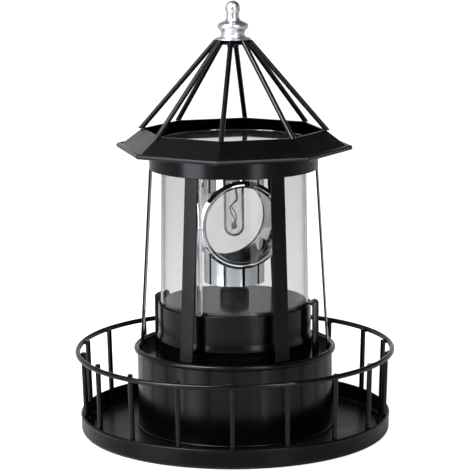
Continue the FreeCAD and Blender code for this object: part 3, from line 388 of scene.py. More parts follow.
def strip(name, outline, width, edge, place):
    """A strip seen from its side as a closed (radius, height, corner radius) outline."""
    mesh_data = bmesh.new()
    profile = softened(outline)
    near = [mesh_data.verts.new((spot.x, -width / 2, spot.y)) for spot in profile]
    far = [mesh_data.verts.new((spot.x, width / 2, spot.y)) for spot in profile]
    mesh_data.faces.new(near)
    mesh_data.faces.new(far)
    for index in range(len(profile)):
        after = (index + 1) % len(profile)
        mesh_data.faces.new((near[index], near[after], far[after], far[index]))
    mesh_data.transform(place)
    bmesh.ops.recalc_face_normals(mesh_data, faces=mesh_data.faces)
    rims = [rim for rim in mesh_data.edges if rim.calc_face_angle(0.0) > math.radians(38)]
    bmesh.ops.bevel(mesh_data, geom=rims, offset=edge, segments=3, profile=0.6, affect="EDGES",
                    clamp_overlap=True)
    return finished(name, mesh_data)


WELD_GAP = 0.02
STRIP_GAUGE = 1.0
POST_COUNT, POST_WIDTH, POST_TWIST = 6, 8.8, -6.0
POST_FOOT_RADIUS, POST_TOP_RADIUS, TWIST_RADIUS = 55.9, 49.1, 52.0
POST_FOOT = DECK_LEVEL + WELD_GAP
COLLAR_FOOT = 157.2
POST_TOP = COLLAR_FOOT - WELD_GAP
post_outline = [(POST_FOOT_RADIUS - STRIP_GAUGE, POST_FOOT), (POST_FOOT_RADIUS, POST_FOOT),
                (POST_TOP_RADIUS, POST_TOP), (POST_TOP_RADIUS - STRIP_GAUGE, POST_TOP)]
twist = (Matrix.Translation((TWIST_RADIUS, 0, 0)) @ Matrix.Rotation(math.radians(POST_TWIST), 4, "Z")
         @ Matrix.Translation((-TWIST_RADIUS, 0, 0)))
for index in range(POST_COUNT):
    bearing = Matrix.Rotation(math.radians(-60 + 360 / POST_COUNT * index), 4, "Z")
    post = strip(f"post_strip_{index + 1}", post_outline, POST_WIDTH, 0.25, bearing @ twist)
    fit(post, black_enamel, "black_paint", f"post_{index + 1}")

# ---- Retaining clips ----
# Two narrow strips rise from the deck and are bent over the upper drum's edge, right and left.
CLIP_RADIUS, HOOK_ROUND, HOOK_LEVEL = 49.8, 2.65, 77.27
HOOK_CENTRE = CLIP_RADIUS - HOOK_ROUND
HOOK_INSIDE = HOOK_ROUND - STRIP_GAUGE
OVER_EDGE = UPPER_TOP + EDGE_TURN + WELD_GAP
hook_outline = ([(CLIP_RADIUS - STRIP_GAUGE, POST_FOOT), (CLIP_RADIUS, POST_FOOT)]
                + arc(HOOK_CENTRE, HOOK_LEVEL, HOOK_ROUND, 0, 180, 14)
                + [(HOOK_CENTRE - HOOK_ROUND, OVER_EDGE), (HOOK_CENTRE - HOOK_INSIDE, OVER_EDGE)]
                + arc(HOOK_CENTRE, HOOK_LEVEL, HOOK_INSIDE, 180, 0, 12))
for side, bearing, width in (("right", -16.0, 12.8), ("left", 158.0, 9.0)):
    turn = Matrix.Rotation(math.radians(bearing), 4, "Z")
    clip = strip(f"clip_strip_{side}", hook_outline, width, 0.2, turn)
    fit(clip, black_enamel, "black_paint", f"clip_{side}")


# ---- Clear tube and its joint strip ----
# Acrylic sheet rolled into a slightly tapered tube. Its edges meet in a clear round strip. Light
# goes through with a faint grey, and the wall darkens where it is seen edge on.

def clear_finish(name, colour, ior, roughness=0.0, waves=0.0, wave_scale=60.0):
    """A clear solid. Lamps shine through it, so what stands inside is lit as in the real one."""
    finish, tree, place = new_finish(name)
    ripple = add_node(tree, "ShaderNodeTexNoise", Vector=place, Scale=wave_scale, Detail=2.0)
    relief = add_node(tree, "ShaderNodeBump", Height=ripple, Strength=waves, Distance=0.001)
    solid = add_node(tree, "ShaderNodeBsdfPrincipled", Base_Color=colour, IOR=ior, Roughness=roughness,
                     Transmission_Weight=1.0, Normal=relief)
    tinted = add_node(tree, "ShaderNodeBsdfTransparent", Color=colour)
    for_lamps = add_node(tree, "ShaderNodeLightPath").outputs["Is Shadow Ray"]
    shader = add_node(tree, "ShaderNodeMixShader", Fac=for_lamps, Input_1=solid, Input_2=tinted)
    add_node(tree, "ShaderNodeOutputMaterial", Surface=shader)
    return finish

TUBE_FOOT_RADIUS, TUBE_TOP_RADIUS, TUBE_WALL, TUBE_TOP = 43.9, 42.4, 1.0, 169.1
TUBE_TAPER = (TUBE_FOOT_RADIUS - TUBE_TOP_RADIUS) / (TUBE_TOP - TUBE_FOOT)
acrylic = clear_finish("clear_acrylic_sheet", "#d8d8d8", 1.18, 0.01, 0.01, 45.0)
tube_outline = [(TUBE_FOOT_RADIUS - TUBE_WALL, TUBE_FOOT), (TUBE_FOOT_RADIUS, TUBE_FOOT),
                (TUBE_TOP_RADIUS, TUBE_TOP), (TUBE_TOP_RADIUS - TUBE_WALL, TUBE_TOP)]
fit(turned("lantern_tube", tube_outline, 224), acrylic, "clear_plastic", "clear_tube")

# The strip's heights, with its radius there. Its rounded lower end stands on the drum's edge.
STRIP_OUTLINE = ((OVER_EDGE + 0.02, 0.9), (77.5, 1.35), (78.1, 1.6), (78.9, 1.7), (120.0, 1.7),
                 (TUBE_TOP, 1.7))
STRIP_BEARING, STRIP_PLACE = -116.5, 45.53
joint_acrylic = clear_finish("clear_moulded_strip", "#eeeeee", 1.49, 0.03)
strip_mesh = bmesh.new()
strip_path = [outward(STRIP_BEARING) * (STRIP_PLACE - (height - OVER_EDGE) * TUBE_TAPER) + UP * height
              for height, _ in STRIP_OUTLINE]
bar(strip_mesh, strip_path, [radius for _, radius in STRIP_OUTLINE], 28)
fit(finished("tube_joint_strip", strip_mesh), joint_acrylic, "clear_plastic", "joint_strip")


# ---- Gear motor, shaft and boss ----
# The motor hangs under the cup. A black moulded boss stands on the lantern's floor, and a thin
# plated shaft comes out of it to turn the beacon.

def metal(name, colour, roughness, scratch=0.0, scratch_scale=400.0, stretch=(1.0, 1.0, 1.0)):
    """A bare or plated metal. Its roughness wanders a little, and tool marks can run one way."""
    finish, tree, place = new_finish(name)
    along = add_node(tree, "ShaderNodeMapping", Vector=place, Scale=stretch)
    marks = add_node(tree, "ShaderNodeTexNoise", Vector=along, Scale=scratch_scale, Detail=4.0)
    relief = add_node(tree, "ShaderNodeBump", Height=marks, Strength=scratch, Distance=0.0003)
    smear = add_node(tree, "ShaderNodeTexNoise", Vector=place, Scale=70.0, Detail=3.0)
    gloss = add_node(tree, "ShaderNodeMapRange", Value=smear, From_Min=0.3, From_Max=0.7,
                     To_Min=roughness * 0.8, To_Max=roughness * 1.3)
    shader = add_node(tree, "ShaderNodeBsdfPrincipled", Base_Color=colour, Metallic=1.0, Roughness=gloss,
                      Normal=relief)
    add_node(tree, "ShaderNodeOutputMaterial", Surface=shader)
    return finish

def refinish(finish, *names):
    """Give this finish to solids of the frame that are shown as they are."""
    for name in names:
        nodes[name].data.materials.clear()
        nodes[name].data.materials.append(finish)


SHAFT_HOLE = 1.3
BOSS_RADIUS, BOSS_TOP, BOSS_CHAMFER, NECK_TOP = 8.6, 85.3, 1.3, 87.2
moulding, tree, place = new_finish("black_abs_moulding")
patch = add_node(tree, "ShaderNodeTexNoise", Vector=place, Scale=90.0, Detail=3.0)
tint = add_node(tree, "ShaderNodeMix", {"data_type": "RGBA"}, Input_0=patch, Input_6="#09090a",
                Input_7="#131314")
grain = add_node(tree, "ShaderNodeTexNoise", Vector=place, Scale=2600.0, Detail=3.0)
relief = add_node(tree, "ShaderNodeBump", Height=grain, Strength=0.16, Distance=0.0002)
moulded = add_node(tree, "ShaderNodeBsdfPrincipled", Base_Color=tint, IOR=1.4, Roughness=0.5,
                   Normal=relief)
add_node(tree, "ShaderNodeOutputMaterial", Surface=moulded)
boss_outline = [(SHAFT_HOLE, FLOOR_LEVEL), (BOSS_RADIUS, FLOOR_LEVEL, 0.2),
                (BOSS_RADIUS, BOSS_TOP - BOSS_CHAMFER, 1.0), (BOSS_RADIUS - BOSS_CHAMFER, BOSS_TOP, 0.9),
                (3.6, BOSS_TOP, 0.2), (3.4, NECK_TOP, 0.3), (SHAFT_HOLE, NECK_TOP)]
fit(turned("motor_boss_moulding", boss_outline, 96), moulding, "black_plastic", "motor_boss")
zinc = metal("zinc_plated_steel", "#b9b8b2", 0.3, 0.1, 900.0)
drawn_steel = metal("drawn_motor_steel", "#9a9a98", 0.38, 0.12, 500.0, (1.0, 1.0, 6.0))
refinish(zinc, "motor_shaft", "motor_screws")
refinish(drawn_steel, "gear_motor")

# ---- Beacon ----
# One plated moulding: an upright barrel crossed by the lens barrel, whose bore narrows to a waist.
# A rounded ring holds a plano-convex lens at each end. It is bright as a mirror, with the slight
# waves of plated plastic.
BEACON_TURN = 15.0
LENS_LEVEL = 125.8
BARREL_FOOT, BARREL_TOP, BARREL_RADIUS = 89.4, 152.95, 17.75
BARREL_FLOOR = BARREL_FOOT + 2.4
LENS_BARREL_RADIUS, LENS_BARREL_HALF = 24.2, 18.0
HOUSING_WALL = 1.4
LENS_SEAT = LENS_BARREL_RADIUS - HOUSING_WALL
LENS_RADIUS = LENS_SEAT - 0.1
LENS_BACK, LENS_FACE, LENS_CURVE = 15.1, 17.6, 150.0
BORE_RADIUS, WAIST_RADIUS, BORE_HALF = 22.0, 19.3, 20.0
RING_RADIUS, RING_BACK, RING_FACE = 25.9, LENS_BARREL_HALF + WELD_GAP, 20.64
HUB_HOLE, HUB_RADIUS, HUB_HEIGHT = 1.25, 3.6, 2.6
bright_plate = metal("bright_plated_abs", "#eceeef", 0.03, 0.03, 60.0)


def looking(piece, bearing):
    """Lay a turned piece on its side at lens height, its top facing this bearing from the front."""
    metres = Matrix.Scale(0.001, 4)
    lay = (Matrix.Rotation(math.radians(bearing), 4, "Z") @ Matrix.Translation((0, 0, LENS_LEVEL))
           @ Matrix.Rotation(math.radians(90), 4, "X"))
    piece.data.transform(metres @ lay @ metres.inverted())
    return piece


def carve(piece, operation, tool):
    """Join a second closed piece to this one, or cut it away."""
    change = piece.modifiers.new("carve", "BOOLEAN")
    change.operation = operation
    change.solver = "EXACT"
    change.object = tool
    piece.modifiers.move(len(piece.modifiers) - 1, 0)
    piece.modifiers.remove(piece.modifiers["even_normals"])
    seen_by = bpy.context.evaluated_depsgraph_get()
    mesh_data = bmesh.new()
    mesh_data.from_mesh(piece.evaluated_get(seen_by).data)
    bmesh.ops.scale(mesh_data, vec=(1000, 1000, 1000), verts=mesh_data.verts)
    name = piece.name
    bpy.data.objects.remove(piece)
    bpy.data.objects.remove(tool)
    return finished(name, mesh_data)


def upright(name, inner, outer, foot, top):
    """A plain upright cylinder, or a ring where it has an inner radius."""
    return turned(name, [(inner, foot), (outer, foot), (outer, top), (inner, top)], 128)


lens_barrel = upright("lens_barrel", 0.0, LENS_BARREL_RADIUS, -LENS_BARREL_HALF, LENS_BARREL_HALF)
barrel_bore = upright("barrel_bore", 0.0, BARREL_RADIUS - HOUSING_WALL, BARREL_FLOOR, BARREL_TOP + 2.0)
bore_outline = [(0.0, -BORE_HALF), (LENS_SEAT, -BORE_HALF), (LENS_SEAT, -LENS_BACK),
                (BORE_RADIUS, -LENS_BACK), (WAIST_RADIUS, 0.0), (BORE_RADIUS, LENS_BACK),
                (LENS_SEAT, LENS_BACK), (LENS_SEAT, BORE_HALF), (0.0, BORE_HALF)]
lens_bore = turned("lens_bore", bore_outline, 128)
housing = upright("beacon_moulding", 0.0, BARREL_RADIUS, BARREL_FOOT, BARREL_TOP)
housing = carve(housing, "UNION", looking(lens_barrel, BEACON_TURN))
housing = carve(housing, "DIFFERENCE", barrel_bore)
housing = carve(housing, "DIFFERENCE", looking(lens_bore, BEACON_TURN))
fit(housing, bright_plate, "bright_chrome", "beacon_housing", body="beacon")
hub = upright("beacon_hub", HUB_HOLE, HUB_RADIUS, BARREL_FLOOR, BARREL_FLOOR + HUB_HEIGHT)
fit(hub, bright_plate, "bright_chrome", body="beacon")

optical = clear_finish("clear_lens_moulding", "#fbfbfb", 1.2)
swell = math.asin(LENS_RADIUS / LENS_CURVE)
lens_outline = ([(0.0, LENS_BACK), (LENS_RADIUS, LENS_BACK)]
                + arc(0.0, LENS_FACE - LENS_CURVE * math.cos(swell), LENS_CURVE,
                      90 - math.degrees(swell), 90, 20))
ring_outline = [(BORE_RADIUS, RING_BACK, 0.1), (RING_RADIUS, RING_BACK, 0.1), (RING_RADIUS, 18.7, 0.3),
                (24.3, 20.5, 0.5), (23.5, RING_FACE, 0.3), (22.6, 20.0, 0.3), (BORE_RADIUS, 19.1, 0.2)]
for facing, label in ((0, "front"), (180, "rear")):
    lens = looking(turned(f"{label}_lens_glass", lens_outline, 128), BEACON_TURN + facing)
    fit(lens, optical, "lens", f"{label}_lens", body="beacon")
    ring = looking(turned(f"{label}_lens_ring", ring_outline, 160), BEACON_TURN + facing)
    fit(ring, bright_plate, "bright_chrome", f"{label}_bezel", body="beacon")

# ---- Bulb ----
# A clear glass tube bulb that hangs from its socket into the beacon. Two dull bent wires carry a
# small light at the closed end.
BULB_RADIUS, BULB_WALL, BULB_END, BULB_TOP = 5.8, 1.0, 122.3, 163.9
BULB_INSIDE = BULB_RADIUS - BULB_WALL
DIODE_RADIUS, DIODE_END, DIODE_TOP = 1.5, 122.0, 124.1
SOCKET_RADIUS, SOCKET_BORE, SOCKET_FOOT, SOCKET_END = 9.0, 6.2, 156.0, 166.0
ROOF_LEVEL = 169.2
LEAD_RADIUS = 0.32
bulb_glass = clear_finish("clear_blown_glass", "#f6f6f6", 1.47, 0.0, 0.03, 120.0)
bulb_outline = ([(0.0, BULB_END - BULB_RADIUS)] + arc(0.0, BULB_END, BULB_RADIUS, -81, 0, 9)
                + [(BULB_RADIUS, BULB_TOP), (BULB_INSIDE, BULB_TOP)]
                + arc(0.0, BULB_END, BULB_INSIDE, 0, -81, 9) + [(0.0, BULB_END - BULB_INSIDE)])
fit(turned("bulb_tube", bulb_outline, 96), bulb_glass, "bulb_glass", "bulb_glass")

# Each wire's sideways place, depth and height, from its foot up; they cross low down.
LEAD_PATHS = (
    [(0.9, 0.6, 124.2), (0.2, 1.0, 126.7), (-1.9, 0.9, 130.6), (-2.1, 0.6, 133.8), (0.3, 0.5, 135.8),
     (2.1, 0.4, 138.4), (1.6, 0.5, 142.3), (1.1, 0.7, 152.0), (1.2, 0.8, BULB_TOP)],
    [(-0.9, -0.6, 124.2), (1.2, -0.9, 126.7), (0.7, -1.0, 130.6), (-1.2, -0.8, 133.8), (-0.5, -0.7, 135.8),
     (1.2, -0.6, 138.4), (1.0, -0.7, 142.3), (-0.7, -0.8, 152.0), (-1.2, -0.8, BULB_TOP)])


def flowing(spots):
    """A smooth path through these places, with six points for each stretch."""
    path = []
    for index in range(len(spots) - 1):
        near = [Vector(spots[max(0, min(len(spots) - 1, index + step))]) for step in (-1, 0, 1, 2)]
        for step in range(6):
            part = step / 6
            path.append(0.5 * (2 * near[1] + (near[2] - near[0]) * part
                               + (2 * near[0] - 5 * near[1] + 4 * near[2] - near[3]) * part ** 2
                               + (3 * near[1] - near[0] - 3 * near[2] + near[3]) * part ** 3))
    return path + [Vector(spots[-1])]


lead_wire, tree, place = new_finish("dull_lead_wire")
tarnish = add_node(tree, "ShaderNodeTexNoise", Vector=place, Scale=420.0, Detail=3.0)
wire_tint = add_node(tree, "ShaderNodeMix", {"data_type": "RGBA"}, Input_0=tarnish, Input_6="#4b4025",
                     Input_7="#8a7c52")
wire_shader = add_node(tree, "ShaderNodeBsdfPrincipled", Base_Color=wire_tint, Metallic=0.6,
                       Roughness=0.42)
add_node(tree, "ShaderNodeOutputMaterial", Surface=wire_shader)
lead_mesh = bmesh.new()
for spots in LEAD_PATHS:
    path = flowing(spots)
    bar(lead_mesh, path, [LEAD_RADIUS] * len(path), 10)
fit(finished("bulb_lead_wires", lead_mesh), lead_wire, "olive_wire", "bulb_leads")

resin, tree, place = new_finish("pale_light_resin")
cloudy = add_node(tree, "ShaderNodeTexNoise", Vector=place, Scale=600.0, Detail=2.0)
resin_tint = add_node(tree, "ShaderNodeMix", {"data_type": "RGBA"}, Input_0=cloudy, Input_6="#b9ad78",
                      Input_7="#ded8b8")
resin_shader = add_node(tree, "ShaderNodeBsdfPrincipled", Base_Color=resin_tint, Roughness=0.25, IOR=1.5,
                        Subsurface_Weight=0.3, Subsurface_Scale=0.001)
add_node(tree, "ShaderNodeOutputMaterial", Surface=resin_shader)
diode_outline = ([(0.0, DIODE_END - DIODE_RADIUS)] + arc(0.0, DIODE_END, DIODE_RADIUS, -75, 0, 5)
                 + [(DIODE_RADIUS, 123.6), (1.7, 123.7), (1.7, DIODE_TOP), (0.0, DIODE_TOP)])
fit(turned("bulb_light", diode_outline, 48), resin, "diode_resin", "bulb_diode")

socket_outline = [(SOCKET_BORE, SOCKET_FOOT, 0.3), (SOCKET_RADIUS, SOCKET_FOOT, 0.6),
                  (SOCKET_RADIUS, ROOF_LEVEL, 0.3), (0.0, ROOF_LEVEL), (0.0, SOCKET_END),
                  (SOCKET_BORE, SOCKET_END)]
fit(turned("bulb_socket", socket_outline, 80), moulding, "black_plastic", "bulb_holder")
refinish(zinc, "bulb_base")

# ---- Collar and roof deck ----
# A plain sheet ring that the posts carry, and the octagonal sheet that closes the lantern's top.
COLLAR_RADIUS = 49.5
ROOF_TOP = ROOF_LEVEL + GAUGE
ROOF_RADIUS, ROOF_HOLE = 66.4, 1.2
ROOF_TURN = -7.3
collar_outline = [(COLLAR_RADIUS - GAUGE, COLLAR_FOOT, 0.15), (COLLAR_RADIUS, COLLAR_FOOT, 0.3),
                  (COLLAR_RADIUS, ROOF_LEVEL), (COLLAR_RADIUS - GAUGE, ROOF_LEVEL)]
fit(turned("collar_ring", collar_outline, 192), black_enamel, "black_paint", "collar")
roof_outline = [(ROOF_HOLE, ROOF_LEVEL), (ROOF_RADIUS, ROOF_LEVEL, 0.2), (ROOF_RADIUS, ROOF_TOP, 0.2),
                (ROOF_HOLE, ROOF_TOP)]
fit(turned("roof_sheet", roof_outline, 8, ROOF_TURN), black_enamel, "black_paint", "roof_deck")


# ---- Eave band ----
# Sheet folded into eight sloped faces, with its lower edge rolled round a wire. The folds are
# slightly rounded, and the bead shines along its top.

def rounded_folds(piece, width):
    """Round the folds of a faceted piece."""
    fold = piece.modifiers.new("folds", "BEVEL")
    fold.width = width * 0.001
    fold.segments = 3
    fold.limit_method = "ANGLE"
    fold.angle_limit = math.radians(25)
    piece.modifiers.move(1, 0)
    return piece


EAVE_FOOT_RADIUS, EAVE_TOP_RADIUS, EAVE_WALL, EAVE_TOP = 67.2, 54.3, 1.6, 179.8
BEAD_ROUND, BEAD_LEVEL = 1.5, 169.7
BEAD_RADIUS = EAVE_FOOT_RADIUS + 0.95
band_outline = [(EAVE_FOOT_RADIUS - EAVE_WALL, ROOF_TOP), (EAVE_FOOT_RADIUS, ROOF_TOP, 0.3),
                (EAVE_TOP_RADIUS, EAVE_TOP, 0.5), (EAVE_TOP_RADIUS - EAVE_WALL, EAVE_TOP, 0.5)]
band = rounded_folds(turned("eave_sheet", band_outline, 8, ROOF_TURN), 0.7)
fit(band, black_enamel, "black_paint", "eave_band")
# The bead's outline is drawn wide by the octagon's corner, so that it is round across each side.
bead_outline = [(BEAD_RADIUS + (spot - BEAD_RADIUS) / math.cos(math.radians(22.5)), level)
                for spot, level in arc(BEAD_RADIUS, BEAD_LEVEL, BEAD_ROUND, 0, 345, 23)]
bead = rounded_folds(turned("eave_bead_roll", bead_outline, 8, ROOF_TURN), 0.5)
fit(bead, black_enamel, "black_paint")

# ---- Roof ribs and cap ----
# Eight straight wires. Each is welded to its corner of the eave band, and their heads are welded
# round a small sheet cone that carries the finial.
RIB_FOOT, RIB_FOOT_RADIUS = EAVE_TOP + WELD_GAP, 54.6
CAP_FOOT, CAP_TOP, SCREW_HOLE = 229.6, 232.1, 2.2
CAP_FOOT_RADIUS, CAP_TOP_RADIUS = 9.345, 7.17
RIB_HEAD, RIB_HEAD_RADIUS = CAP_TOP - WELD_GAP, 9.2
rib_finish = enamel("black_baked_enamel_on_wire", "#030304", "#0e0d0c", 0.23, 0.06, 1.3)
corners = [outward(ROOF_TURN + 45 * index) for index in range(8)]
for index, corner in enumerate(corners):
    foot = corner * RIB_FOOT_RADIUS + UP * RIB_FOOT
    head = corner * RIB_HEAD_RADIUS + UP * RIB_HEAD
    along = (head - foot).normalized()
    rib_mesh = bmesh.new()
    path = [foot - along * 2.2, foot + along * 0.4, foot.lerp(head, 0.5), head - along * 0.4,
            head + along * 1.2]
    bar(rib_mesh, path, [WIRE_RADIUS] * len(path), 24)
    for level, keep_above in ((RIB_FOOT, True), (RIB_HEAD, False)):
        bmesh.ops.bisect_plane(rib_mesh, geom=rib_mesh.verts[:] + rib_mesh.edges[:] + rib_mesh.faces[:],
                               plane_co=UP * level, plane_no=UP, clear_inner=keep_above,
                               clear_outer=not keep_above)
        rim = [edge for edge in rib_mesh.edges if len(edge.link_faces) == 1]
        bmesh.ops.holes_fill(rib_mesh, edges=rim)
    fit(finished(f"rib_wire_{index + 1}", rib_mesh), rib_finish, "black_paint", f"rib_{index + 1}")
rib_welds = bmesh.new()
for corner in corners:
    lump(rib_welds, corner * (EAVE_TOP_RADIUS - 0.9) + UP * (EAVE_TOP - 0.1), (1.5, 1.5, 0.9))
    lump(rib_welds, corner * (RIB_HEAD_RADIUS - 0.2) + UP * (CAP_FOOT + 1.0), (1.0, 1.0, 1.1))
fit(finished("rib_weld_beads", rib_welds, 60.0), rib_finish, "black_paint")
cap_outline = [(SCREW_HOLE, CAP_FOOT), (CAP_FOOT_RADIUS, CAP_FOOT, 0.3), (CAP_TOP_RADIUS, CAP_TOP, 0.2),
               (SCREW_HOLE, CAP_TOP)]
fit(turned("cap_sheet", cap_outline, 96), rib_finish, "black_paint", "top_cap")

# ---- Finial ----
# Turned and coated in satin silver: a flange, a waist, a rounded belly and a ball on a neck.
# Its outline's heights are above its foot, which stands on the cap.
BALL_RADIUS, BALL_LEVEL = 4.4, 18.1
SCREW_DEPTH = 9.0
satin_silver = metal("satin_silver_coat", "#c4c5c6", 0.34)
finial_outline = (
    [(SCREW_HOLE, 0.0), (10.15, 0.0, 0.1), (10.6, 0.45, 0.3), (10.15, 0.9, 0.3), (8.1, 1.4, 0.4),
     (7.4, 1.85, 0.8), (6.85, 3.3, 1.5), (6.9, 4.75, 1.5), (8.7, 6.85, 0.8), (9.15, 8.0, 0.9),
     (8.6, 9.2, 0.9), (4.6, 11.05, 0.6), (3.9, 12.6, 1.2), (3.7, 14.2, 1.0), (3.7, 15.6, 0.3)]
    + arc(0.0, BALL_LEVEL, BALL_RADIUS, -32, 87, 17)
    + [(0.0, BALL_LEVEL + BALL_RADIUS), (0.0, SCREW_DEPTH), (SCREW_HOLE, SCREW_DEPTH)])
raised = [(point[0], CAP_TOP + point[1], *point[2:]) for point in finial_outline]
fit(turned("finial_turning", raised, 96), satin_silver, "satin_silver", "finial")
refinish(rib_finish, "finial_screw")

# ---- Solar panel ----
# A round cell under a polished glass cover, in a shallow black dish on the roof deck. At a low
# angle the cover mirrors the sky.
DISH_RADIUS, DISH_BORE, DISH_TOP, DISH_FLOOR = 46.0, 43.7, 173.4, 171.0
DISH_FOOT = ROOF_TOP + WELD_GAP
GLASS_RADIUS, GLASS_FOOT, GLASS_TOP = 43.58, 172.22, 174.0
dish_outline = [(0.0, DISH_FOOT), (DISH_RADIUS, DISH_FOOT, 0.2), (DISH_RADIUS, DISH_TOP, 0.6),
                (DISH_BORE, DISH_TOP, 0.4), (DISH_BORE, DISH_FLOOR), (0.0, DISH_FLOOR)]
fit(turned("panel_dish", dish_outline, 128), moulding, "black_plastic", "panel_frame")


def lines(tree, across, spacing, width):
    """One on thin lines at this spacing and 0 between them; both are in metres."""
    from_line = add_node(tree, "ShaderNodeMath", {"operation": "PINGPONG"}, Input_0=across,
                         Input_1=spacing / 2)
    return add_node(tree, "ShaderNodeMath", {"operation": "LESS_THAN"}, Input_0=from_line,
                    Input_1=width / 2)

silicon, tree, place = new_finish("dark_silicon_cell")
grid = add_node(tree, "ShaderNodeSeparateXYZ", Vector=place)
# Silver fingers 2.5 mm apart and wider bars 20 mm apart run across the cell.
fingers = lines(tree, grid.outputs["X"], 0.0025, 0.00018)
bars = lines(tree, grid.outputs["Y"], 0.02, 0.001)
silver = add_node(tree, "ShaderNodeMath", {"operation": "MAXIMUM"}, Input_0=fingers, Input_1=bars)
crystal = add_node(tree, "ShaderNodeTexVoronoi", Vector=place, Scale=160.0)
cell_tint = add_node(tree, "ShaderNodeMix", {"data_type": "RGBA"}, Input_0=crystal, Input_6="#06080c",
                     Input_7="#0c1018")
printed = add_node(tree, "ShaderNodeMix", {"data_type": "RGBA"}, Input_0=silver, Input_6=cell_tint,
                   Input_7="#3d4045")
cell_shader = add_node(tree, "ShaderNodeBsdfPrincipled", Base_Color=printed, Roughness=0.3, IOR=1.5)
add_node(tree, "ShaderNodeOutputMaterial", Surface=cell_shader)
refinish(silicon, "solar_panel")
panel_glass = clear_finish("polished_cover_glass", "#ebeeee", 1.52, 0.02)
cover_outline = [(0.0, GLASS_FOOT), (GLASS_RADIUS, GLASS_FOOT), (GLASS_RADIUS, GLASS_TOP, 0.3),
                 (0.0, GLASS_TOP)]
fit(turned("panel_cover_glass", cover_outline, 128), panel_glass, "panel_glass", "panel_cover")

# ---- Base pan, battery and switch ----
# A black moulded plug closes the tray from below. It holds the cell behind a hinged door, a slide
# switch, and on two pillars the circuit board.
sleeve, tree, place = new_finish("shrink_sleeve")
# The cell's sleeve is green, with a pale band at one end.
along_cell = add_node(tree, "ShaderNodeSeparateXYZ", Vector=place).outputs["X"]
end_band = add_node(tree, "ShaderNodeMath", {"operation": "GREATER_THAN"}, Input_0=along_cell,
                    Input_1=0.017)
sleeve_tint = add_node(tree, "ShaderNodeMix", {"data_type": "RGBA"}, Input_0=end_band, Input_6="#3f6f4a",
                       Input_7="#c9c9c4")
shrink = add_node(tree, "ShaderNodeTexNoise", Vector=place, Scale=500.0, Detail=2.0)
wrinkle = add_node(tree, "ShaderNodeBump", Height=shrink, Strength=0.1, Distance=0.0003)
sleeve_shader = add_node(tree, "ShaderNodeBsdfPrincipled", Base_Color=sleeve_tint, Roughness=0.3,
                         Normal=wrinkle)
add_node(tree, "ShaderNodeOutputMaterial", Surface=sleeve_shader)

board_mask, tree, place = new_finish("green_solder_mask")
# Copper tracks about 0.8 mm wide show through the mask.
track = add_node(tree, "ShaderNodeTexWave", {"bands_direction": "X"}, Vector=place, Scale=180.0,
                 Distortion=4.0).outputs["Fac"]
track_edge = add_node(tree, "ShaderNodeMapRange", Value=track, From_Min=0.62, From_Max=0.68)
mask_tint = add_node(tree, "ShaderNodeMix", {"data_type": "RGBA"}, Input_0=track_edge, Input_6="#12512c",
                     Input_7="#2b7a43")
mask_shader = add_node(tree, "ShaderNodeBsdfPrincipled", Base_Color=mask_tint, Roughness=0.32)
add_node(tree, "ShaderNodeOutputMaterial", Surface=mask_shader)

lead_sleeve, tree, place = new_finish("red_lead_insulation")
bloom = add_node(tree, "ShaderNodeTexNoise", Vector=place, Scale=800.0)
lead_tint = add_node(tree, "ShaderNodeMix", {"data_type": "RGBA"}, Input_0=bloom, Input_6="#7c1713",
                     Input_7="#9c2a22")
lead_shader = add_node(tree, "ShaderNodeBsdfPrincipled", Base_Color=lead_tint, Roughness=0.4)
add_node(tree, "ShaderNodeOutputMaterial", Surface=lead_shader)

refinish(moulding, "base_pan", "battery_door", "switch_body", "switch_slider")
refinish(zinc, "battery_contacts", "board_screws", "base_screws")
refinish(sleeve, "battery_cell")
refinish(board_mask, "circuit_board")
refinish(lead_sleeve, "motor_leads")

# ---- Floor ----
# A plain pale studio floor. The camera, and what is seen through the clear pieces, get it as
# white, and it keeps a soft shadow under the tray.
FLOOR_REACH, FLOOR_DROP = 15000.0, 0.2


def seen_straight(tree):
    """One for the camera's own rays and for those that only passed through clear pieces."""
    rays = add_node(tree, "ShaderNodeLightPath").outputs
    unmirrored = add_node(tree, "ShaderNodeMath", {"operation": "LESS_THAN"},
                          Input_0=rays["Glossy Depth"], Input_1=0.5)
    through = add_node(tree, "ShaderNodeMath", {"operation": "MULTIPLY"}, Input_0=unmirrored,
                       Input_1=rays["Is Transmission Ray"])
    return add_node(tree, "ShaderNodeMath", {"operation": "MAXIMUM"}, Input_0=rays["Is Camera Ray"],
                    Input_1=through)

paper, tree, place = new_finish("pale_studio_floor")
shaded = add_node(tree, "ShaderNodeBsdfDiffuse", Color="#bdbdbb")
away = add_node(tree, "ShaderNodeVectorMath", {"operation": "LENGTH"}, Input_0=place)
lift = add_node(tree, "ShaderNodeMapRange", Value=away, From_Min=0.2, From_Max=0.45, To_Min=0.82,
                To_Max=1.0)
glow = add_node(tree, "ShaderNodeEmission", Color="#ffffff", Strength=lift)
lifted = add_node(tree, "ShaderNodeAddShader", Input_0=shaded, Input_1=glow)
plain = add_node(tree, "ShaderNodeBsdfPrincipled", Base_Color="#cbcac7", Roughness=0.12, IOR=1.45)
paper_mix = add_node(tree, "ShaderNodeMixShader", Fac=seen_straight(tree), Input_1=plain,
                     Input_2=lifted)
add_node(tree, "ShaderNodeOutputMaterial", Surface=paper_mix)
floor_mesh = bmesh.new()
bmesh.ops.create_circle(floor_mesh, cap_ends=True, radius=FLOOR_REACH, segments=64)
floor = finished("studio_floor", floor_mesh)
# It lies a hair under the tray's edge, so that the two faces don't coincide.
floor.location.z = -FLOOR_DROP * 0.001
floor.data.materials.append(paper)

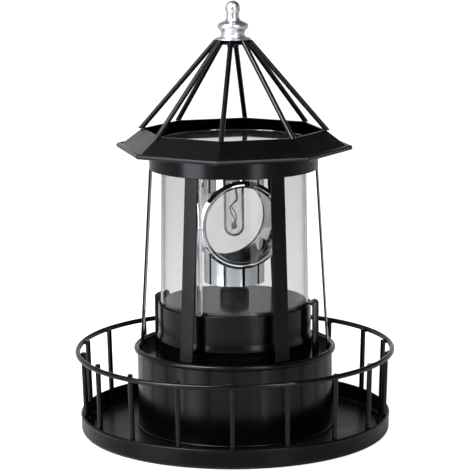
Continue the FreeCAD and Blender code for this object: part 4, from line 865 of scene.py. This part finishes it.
# ---- Light ----
# A softbox high at the left front with a tall white card under it, and a fainter pair at the right
# front, in a room whose backdrop is pale up to a low height and dark above it.
room = bpy.data.worlds.new("studio_room")
scene.world = room
room.use_nodes = True
tree = room.node_tree
tree.nodes.clear()
view = add_node(tree, "ShaderNodeTexCoord").outputs["Generated"]
toward = add_node(tree, "ShaderNodeSeparateXYZ", Vector=view).outputs
smooth = {"interpolation_type": "SMOOTHSTEP"}
behind = add_node(tree, "ShaderNodeMapRange", smooth, Value=toward["Y"], From_Min=-0.4, From_Max=0.4,
                  To_Min=0.25, To_Max=1.0)
ceiling = add_node(tree, "ShaderNodeMapRange", smooth, Value=toward["X"], From_Min=0.4, From_Max=-0.5,
                   To_Min=0.05, To_Max=0.35)
aloft = add_node(tree, "ShaderNodeMapRange", smooth, Value=toward["Z"], From_Min=0.12, From_Max=0.42)
mirrored = add_node(tree, "ShaderNodeMix", {"data_type": "FLOAT"}, Input_0=aloft, Input_2=behind,
                    Input_3=ceiling)
level = add_node(tree, "ShaderNodeMix", {"data_type": "FLOAT"}, Input_0=seen_straight(tree),
                 Input_2=mirrored, Input_3=1.0)
sky = add_node(tree, "ShaderNodeBackground", Color="#ffffff", Strength=level)
add_node(tree, "ShaderNodeOutputWorld", Surface=sky)
LAMP_COLOUR = "#f3f7ff"
AIM = Vector((0, 0, 0.12))


def soft_lamp(name, bearing, height, distance, size, power):
    """A rectangular lamp aimed at the ornament; bearing 0 is the front, right is positive."""
    lamp = bpy.data.lights.new(name, "AREA")
    lamp.shape = "RECTANGLE"
    lamp.size, lamp.size_y = size
    lamp.energy = power
    lamp.color = hex_colour(LAMP_COLOUR)[:3]
    holder = bpy.data.objects.new(name, lamp)
    holder.location = outward(bearing - 90) * distance + UP * height
    holder.rotation_mode = "QUATERNION"
    holder.rotation_quaternion = (AIM - holder.location).to_track_quat("-Z", "Y")
    holder.visible_camera = False
    scene.collection.objects.link(holder)


soft_lamp("left_softbox", -47, 1.0, 0.82, (0.62, 0.53), 26.0)
soft_lamp("left_card", -54, 0.26, 0.5, (0.28, 0.5), 3.2)
soft_lamp("right_softbox", 30, 1.0, 0.82, (0.34, 0.45), 5.5)
soft_lamp("right_card", 30, 0.26, 0.5, (0.12, 0.5), 1.1)
